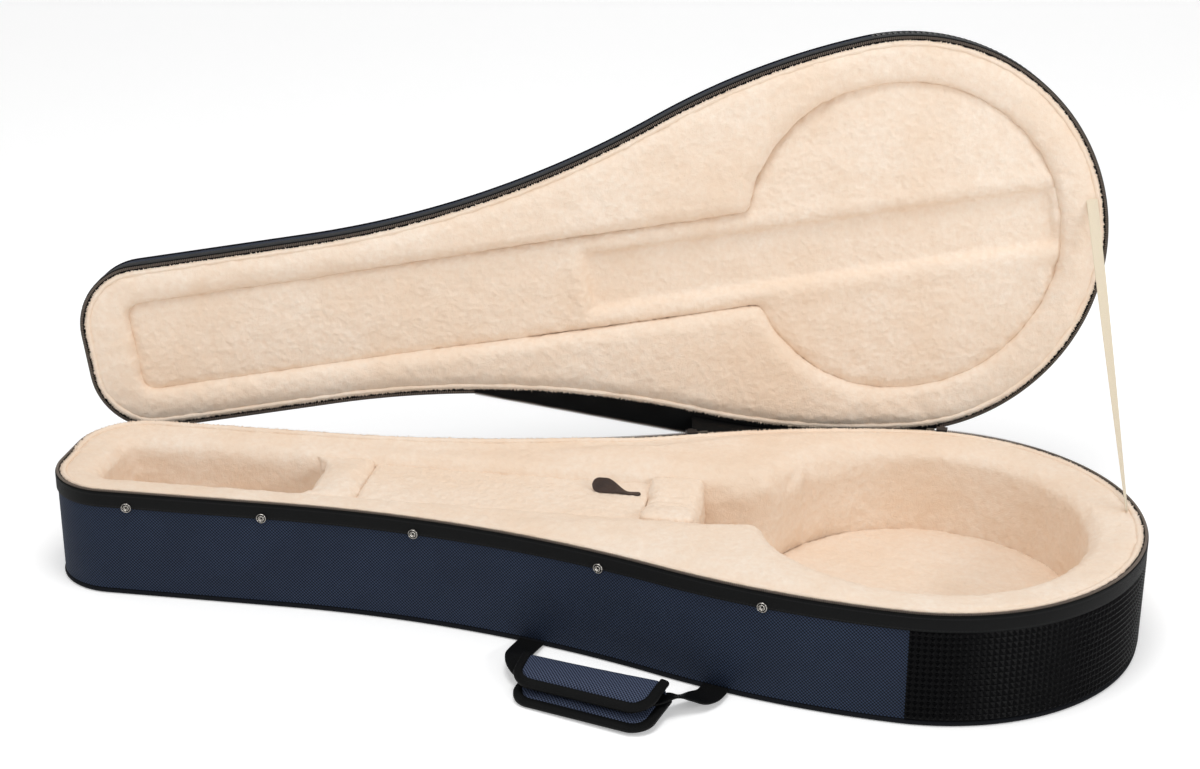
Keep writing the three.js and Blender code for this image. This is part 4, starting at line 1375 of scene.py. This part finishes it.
for end, x in {"heel": 331 * MM, "waist": 81 * MM}.items():
    node = "zipper_pull_" + end
    low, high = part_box(node)
    middle = (low + high) / 2
    normal = outwards_at(x)
    pull = fresh(bpy.ops.mesh.primitive_plane_add, size=1)
    pull.scale = (PULL_WIDE, PULL_LONG, 1)
    bpy.ops.object.transform_apply()
    mode("EDIT")
    bpy.ops.mesh.select_all(action="SELECT")
    bpy.ops.mesh.bevel(offset=1.6 * MM, segments=4, affect="VERTICES")
    bpy.ops.mesh.inset(thickness=PULL_BAND)
    bpy.ops.mesh.delete(type="FACE")
    mode("OBJECT")
    finish_with(pull, "SOLIDIFY", thickness=PULL_BAND, offset=0)
    round_edges(pull, 0.3 * MM)
    pull.matrix_world = Matrix((
        (-normal.y, 0, normal.x, middle.x),
        (normal.x, 0, normal.y, middle.y),
        (0, 1, 0, middle.z),
        (0, 0, 0, 1),
    ))
    body = "pull_" + end
    settle(pull, "slotted_pull_" + end, body, dark_metal, [node], 35)

# %% [markdown]
# The handle has its own frame: x along the wall between the two sewn ends, y towards the case
# and z up. Its pieces are shaped there, in millimetres, and then carried to their place.

# %% Handle frame
handle_origin = np.array([56.741, -145.294, 0]) * MM
handle_axes = np.array([[0.951983, -0.306151, 0], [0.306151, 0.951983, 0], [0, 0, 1]])


def at_handle(rows):
    """Points of the handle's frame as points of the case."""
    return handle_origin + np.asarray(rows, float) * MM @ handle_axes


print("handle starts at", handle_origin.round(3))

# %% [markdown]
# One strap of webbing runs from the bottom seam through the grip and back. Stiff webbing turns
# in wide loops and twists as it goes, so each knot also says which way the strap lies.

# %% Handle webbing
strap_route = np.array([  # the strap's middle, then the direction across it
    (-94, 1.5, 3.0, 1, 0, 0),
    (-93, -14, 4.0, 1, 0, 0),
    (-89, -30, 8.0, 1, 0.08, 0),
    (-84, -43, 12.0, 0.95, 0.3, 0),
    (-76, -55, 12.5, 0.7, 0.7, 0),
    (-65, -65, 11.5, 0.2, 1, 0),
    (-50, -71, 11.2, 0, 1, 0),
    (-20, -71.5, 12.0, 0, 1, 0),
    (20, -71.5, 13.4, 0, 1, 0),
    (46, -69, 14.6, 0, 1, 0),
    (60, -64, 15.2, 0, 1, 0),
    (69, -56, 15.2, -0.12, 0.95, -0.1),
    (77, -46, 14.2, -0.33, 0.82, -0.42),
    (84, -37, 11.5, -0.5, 0.82, -0.22),
    (90, -29, 8.0, -0.72, 0.68, 0),
    (93, -19, 6.0, -0.92, 0.35, 0.05),
    (93, -8, 5.0, -1, 0.1, 0.05),
    (92, 1.5, 4.0, -1, 0, 0),
])
strap_knots = np.hstack([at_handle(strap_route[:, :3]), strap_route[:, 3:] @ handle_axes])
webbing = strap(strap_knots, 25 * MM, 1.8 * MM, 220)
settle(webbing, "handle_strap", "handle", plain_tape, ["handle_webbing"])

# %% [markdown]
# The grip is a padded wrap in two flaps that fold at the back. A flap is cloth over foam: a
# rounded plate that slopes down to its front edge. It is swollen as cloth, like the linings.
# The upper flap doesn't lie square on the lower one, as nothing stiff holds it.

# %% Grip pads
GRIP_X, GRIP_HALF, GRIP_BACK, GRIP_CORNER = 2, 68, -52, 20
GRIP_LEFT, FOLD_REACH = GRIP_X - GRIP_HALF, 40
PAD_INSET, PAD_THICK, PLATE = 6.5, 9, 8


def flap_outline(width, inset, shift):
    """The free edge of a flap from its back left corner to its back right one."""
    left, right = GRIP_X + shift - GRIP_HALF + inset, GRIP_X + shift + GRIP_HALF - inset
    front, r = GRIP_BACK - width + inset, GRIP_CORNER - inset
    side = GRIP_BACK - front - r
    dots = [(left, GRIP_BACK - side * k / 6) for k in range(6)]
    for centre, start in ((left + r, 180), (right - r, 270)):
        for k in range(9):
            turn = math.radians(start + 90 * k / 8)
            dots.append((centre + r * math.cos(turn), front + r + r * math.sin(turn)))
        if start == 180:
            dots += [(left + r + (right - left - 2 * r) * k / 16, front) for k in range(1, 16)]
    dots += [(right, front + r + side * k / 6) for k in range(1, 7)]
    return np.array(dots)


def slope(y, width, high, low):
    """Height of a flap: level at the back, then rounding down to its front edge."""
    share = np.clip((GRIP_BACK - y) / width, 0, 1)
    return low + (high - low) * np.sqrt(np.clip(1 - share**2.2, 0, 1))


def near_fold(rows):
    """1 at the fold, and nothing further in front than its reach."""
    return np.clip(1 - (GRIP_BACK - rows[:, 1]) / FOLD_REACH, 0, 1)


def rise(rows, most):
    """A flap stands higher at its right end, most of all at the fold."""
    to_right = np.clip((rows[:, 0] - GRIP_LEFT) / (2 * GRIP_HALF), 0, 1)
    return most * to_right * (0.4 + 0.6 * near_fold(rows))


def skew(rows, most):
    """Its left end is pulled out at the fold."""
    return -most * np.clip(rows[:, 0] / GRIP_LEFT, 0, 1) * near_fold(rows)


def flap_pad(width, base_z, low, high, shift, most):
    """A rounded plate that follows the slope, as a closed mesh."""
    dots = flap_outline(width, PAD_INSET, shift)
    dots[:, 1] = np.minimum(dots[:, 1], GRIP_BACK - 1.5)
    circle = {"vertices": len(dots), "radius": 0.01, "fill_type": "NGON"}
    pad = fresh(bpy.ops.mesh.primitive_circle_add, **circle)
    move_points(pad, np.column_stack([dots, np.zeros(len(dots))]) * MM)
    mode("EDIT")
    bpy.ops.mesh.select_all(action="SELECT")
    extrude(0, 0, PLATE * MM)
    bpy.ops.mesh.select_all(action="SELECT")
    bpy.ops.mesh.normals_make_consistent(inside=False)
    mode("OBJECT")
    finish_with(pad, "REMESH", mode="VOXEL", voxel_size=2 * MM)
    rows = points_of(pad) / MM
    top = slope(rows[:, 1], width - 6, high, low)
    foot = np.maximum(top - PAD_THICK, base_z)
    rows[:, 2] = foot + (top - foot) * rows[:, 2] / PLATE + rise(rows, most)
    rows[:, 0] += skew(rows, most)
    move_points(pad, at_handle(rows))
    finish_with(pad, "SMOOTH", factor=0.5, iterations=6)
    swell(pad, cap=1.5)
    finish_with(pad, "SUBSURF", levels=1, render_levels=1)
    flat = (points_of(pad) - handle_origin) @ handle_axes.T
    lay_cloth(pad, flat[:, 0], flat[:, 1] * 1.15)
    return pad


lower_pad = flap_pad(width=52, base_z=0.5, low=4.5, high=9.2, shift=3, most=6)
node = "grip_lower_pad"
settle(lower_pad, "grip_lower_cushion", "handle", grip_cloth, [node], ALL_SMOOTH)
upper_pad = flap_pad(width=43.5, base_z=12.4, low=15.0, high=23.2, shift=0, most=8)
node = "grip_upper_pad"
settle(upper_pad, "grip_upper_cushion", "grip_flap", grip_cloth, [node], ALL_SMOOTH)

# %% [markdown]
# Folded tape binds each flap. A grid is rolled up into a flat tube that follows the flap's free
# edge and leans over with it, and its two ends are closed.

# %% Grip bindings
BINDING_INSET, BINDING_HALF, BINDING_TALL, BINDING_LEAN = 3.6, 4.5, 2.8, 0.12


def binding(name, body, node, width, low, high, drop, shift, most):
    """Folded tape round a flap's free edge; drop is how far it turns down at the front."""
    middles = flap_outline(width, BINDING_INSET, shift)
    along_edge = np.gradient(middles, axis=0)
    outward = np.column_stack([along_edge[:, 1], -along_edge[:, 0]])
    outward /= np.linalg.norm(outward, axis=1, keepdims=True)
    top = slope(middles[:, 1], width, high, low) + rise(middles, most)
    middles[:, 0] += skew(middles, most)
    fall = np.clip((GRIP_BACK - middles[:, 1]) / width, 0, 1) ** 2 * drop
    tilt = np.arctan(fall / 8) + BINDING_LEAN
    table = np.column_stack([middles, outward, top, tilt])

    def squarish(wave):
        """A sine or cosine pushed outwards, so that the tube has flat sides."""
        return np.sign(wave) * np.abs(wave) ** 0.7

    def rule(s, t):
        x, y, out_x, out_y, level, lean = smooth_path(table, s).T
        turn = 2 * math.pi * t
        out = squarish(np.cos(turn)) * BINDING_HALF
        lift = squarish(np.sin(turn)) * BINDING_TALL
        swung = out * np.cos(lean) + lift * np.sin(lean) * 0.6
        raised = level - BINDING_TALL + lift * np.cos(lean) - out * np.sin(lean)
        return at_handle(np.column_stack([x + out_x * swung, y + out_y * swung, raised]))

    tube = cloth_grid(150, 16, 0, rule, (length_of(middles) * MM, 20 * MM))
    mode("EDIT")
    bpy.ops.mesh.select_mode(type="VERT")
    weld(0.02 * MM, outwards=False)
    bpy.ops.mesh.select_all(action="DESELECT")
    bpy.ops.mesh.select_non_manifold()
    bpy.ops.mesh.edge_face_add()
    bpy.ops.mesh.select_all(action="SELECT")
    bpy.ops.mesh.normals_make_consistent(inside=False)
    mode("OBJECT")
    settle(tube, name, body, plain_tape, [node], 60)


lower = {"width": 52, "low": 4.6, "high": 8.6, "drop": 1.5, "shift": 3, "most": 6}
binding("grip_lower_edge", "handle", "grip_lower_binding", **lower)
upper = {"width": 43, "low": 16.8, "high": 23.4, "drop": 6, "shift": 0, "most": 8}
binding("grip_upper_edge", "grip_flap", "grip_upper_binding", **upper)

# %% [markdown]
# The two flaps are one cloth that folds round behind the webbing. On the real case the fold
# stretches when the upper flap opens; here it is one sheet from the lower flap up to the upper
# one, tied to neither.

# %% Fold of the grip
FOLD_HALF, FOLD_FOOT, FOLD_BULGE = 63, 4, 5.2
FOLD_LEFT_TALL, FOLD_RIGHT_MORE = 17, 7


def fold_rule(s, t):
    """Its foot lies 4 mm to the right, and its head is pulled out by 7 mm at the left."""
    x = GRIP_X - FOLD_HALF + 2 * FOLD_HALF * s - 7 * (1 - s) * t + 4 * (1 - t)
    y = GRIP_BACK - 3.5 + FOLD_BULGE * np.sin(t * math.pi)
    z = FOLD_FOOT + (FOLD_LEFT_TALL + FOLD_RIGHT_MORE * s) * t
    return at_handle(np.column_stack([x, y, z]))


fold = cloth_grid(60, 14, 1.1 * MM, fold_rule, (0.12, 0.02))
settle(fold, "grip_fold_cloth", None, grip_cloth, ["grip_fold"], 60)
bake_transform(fold)
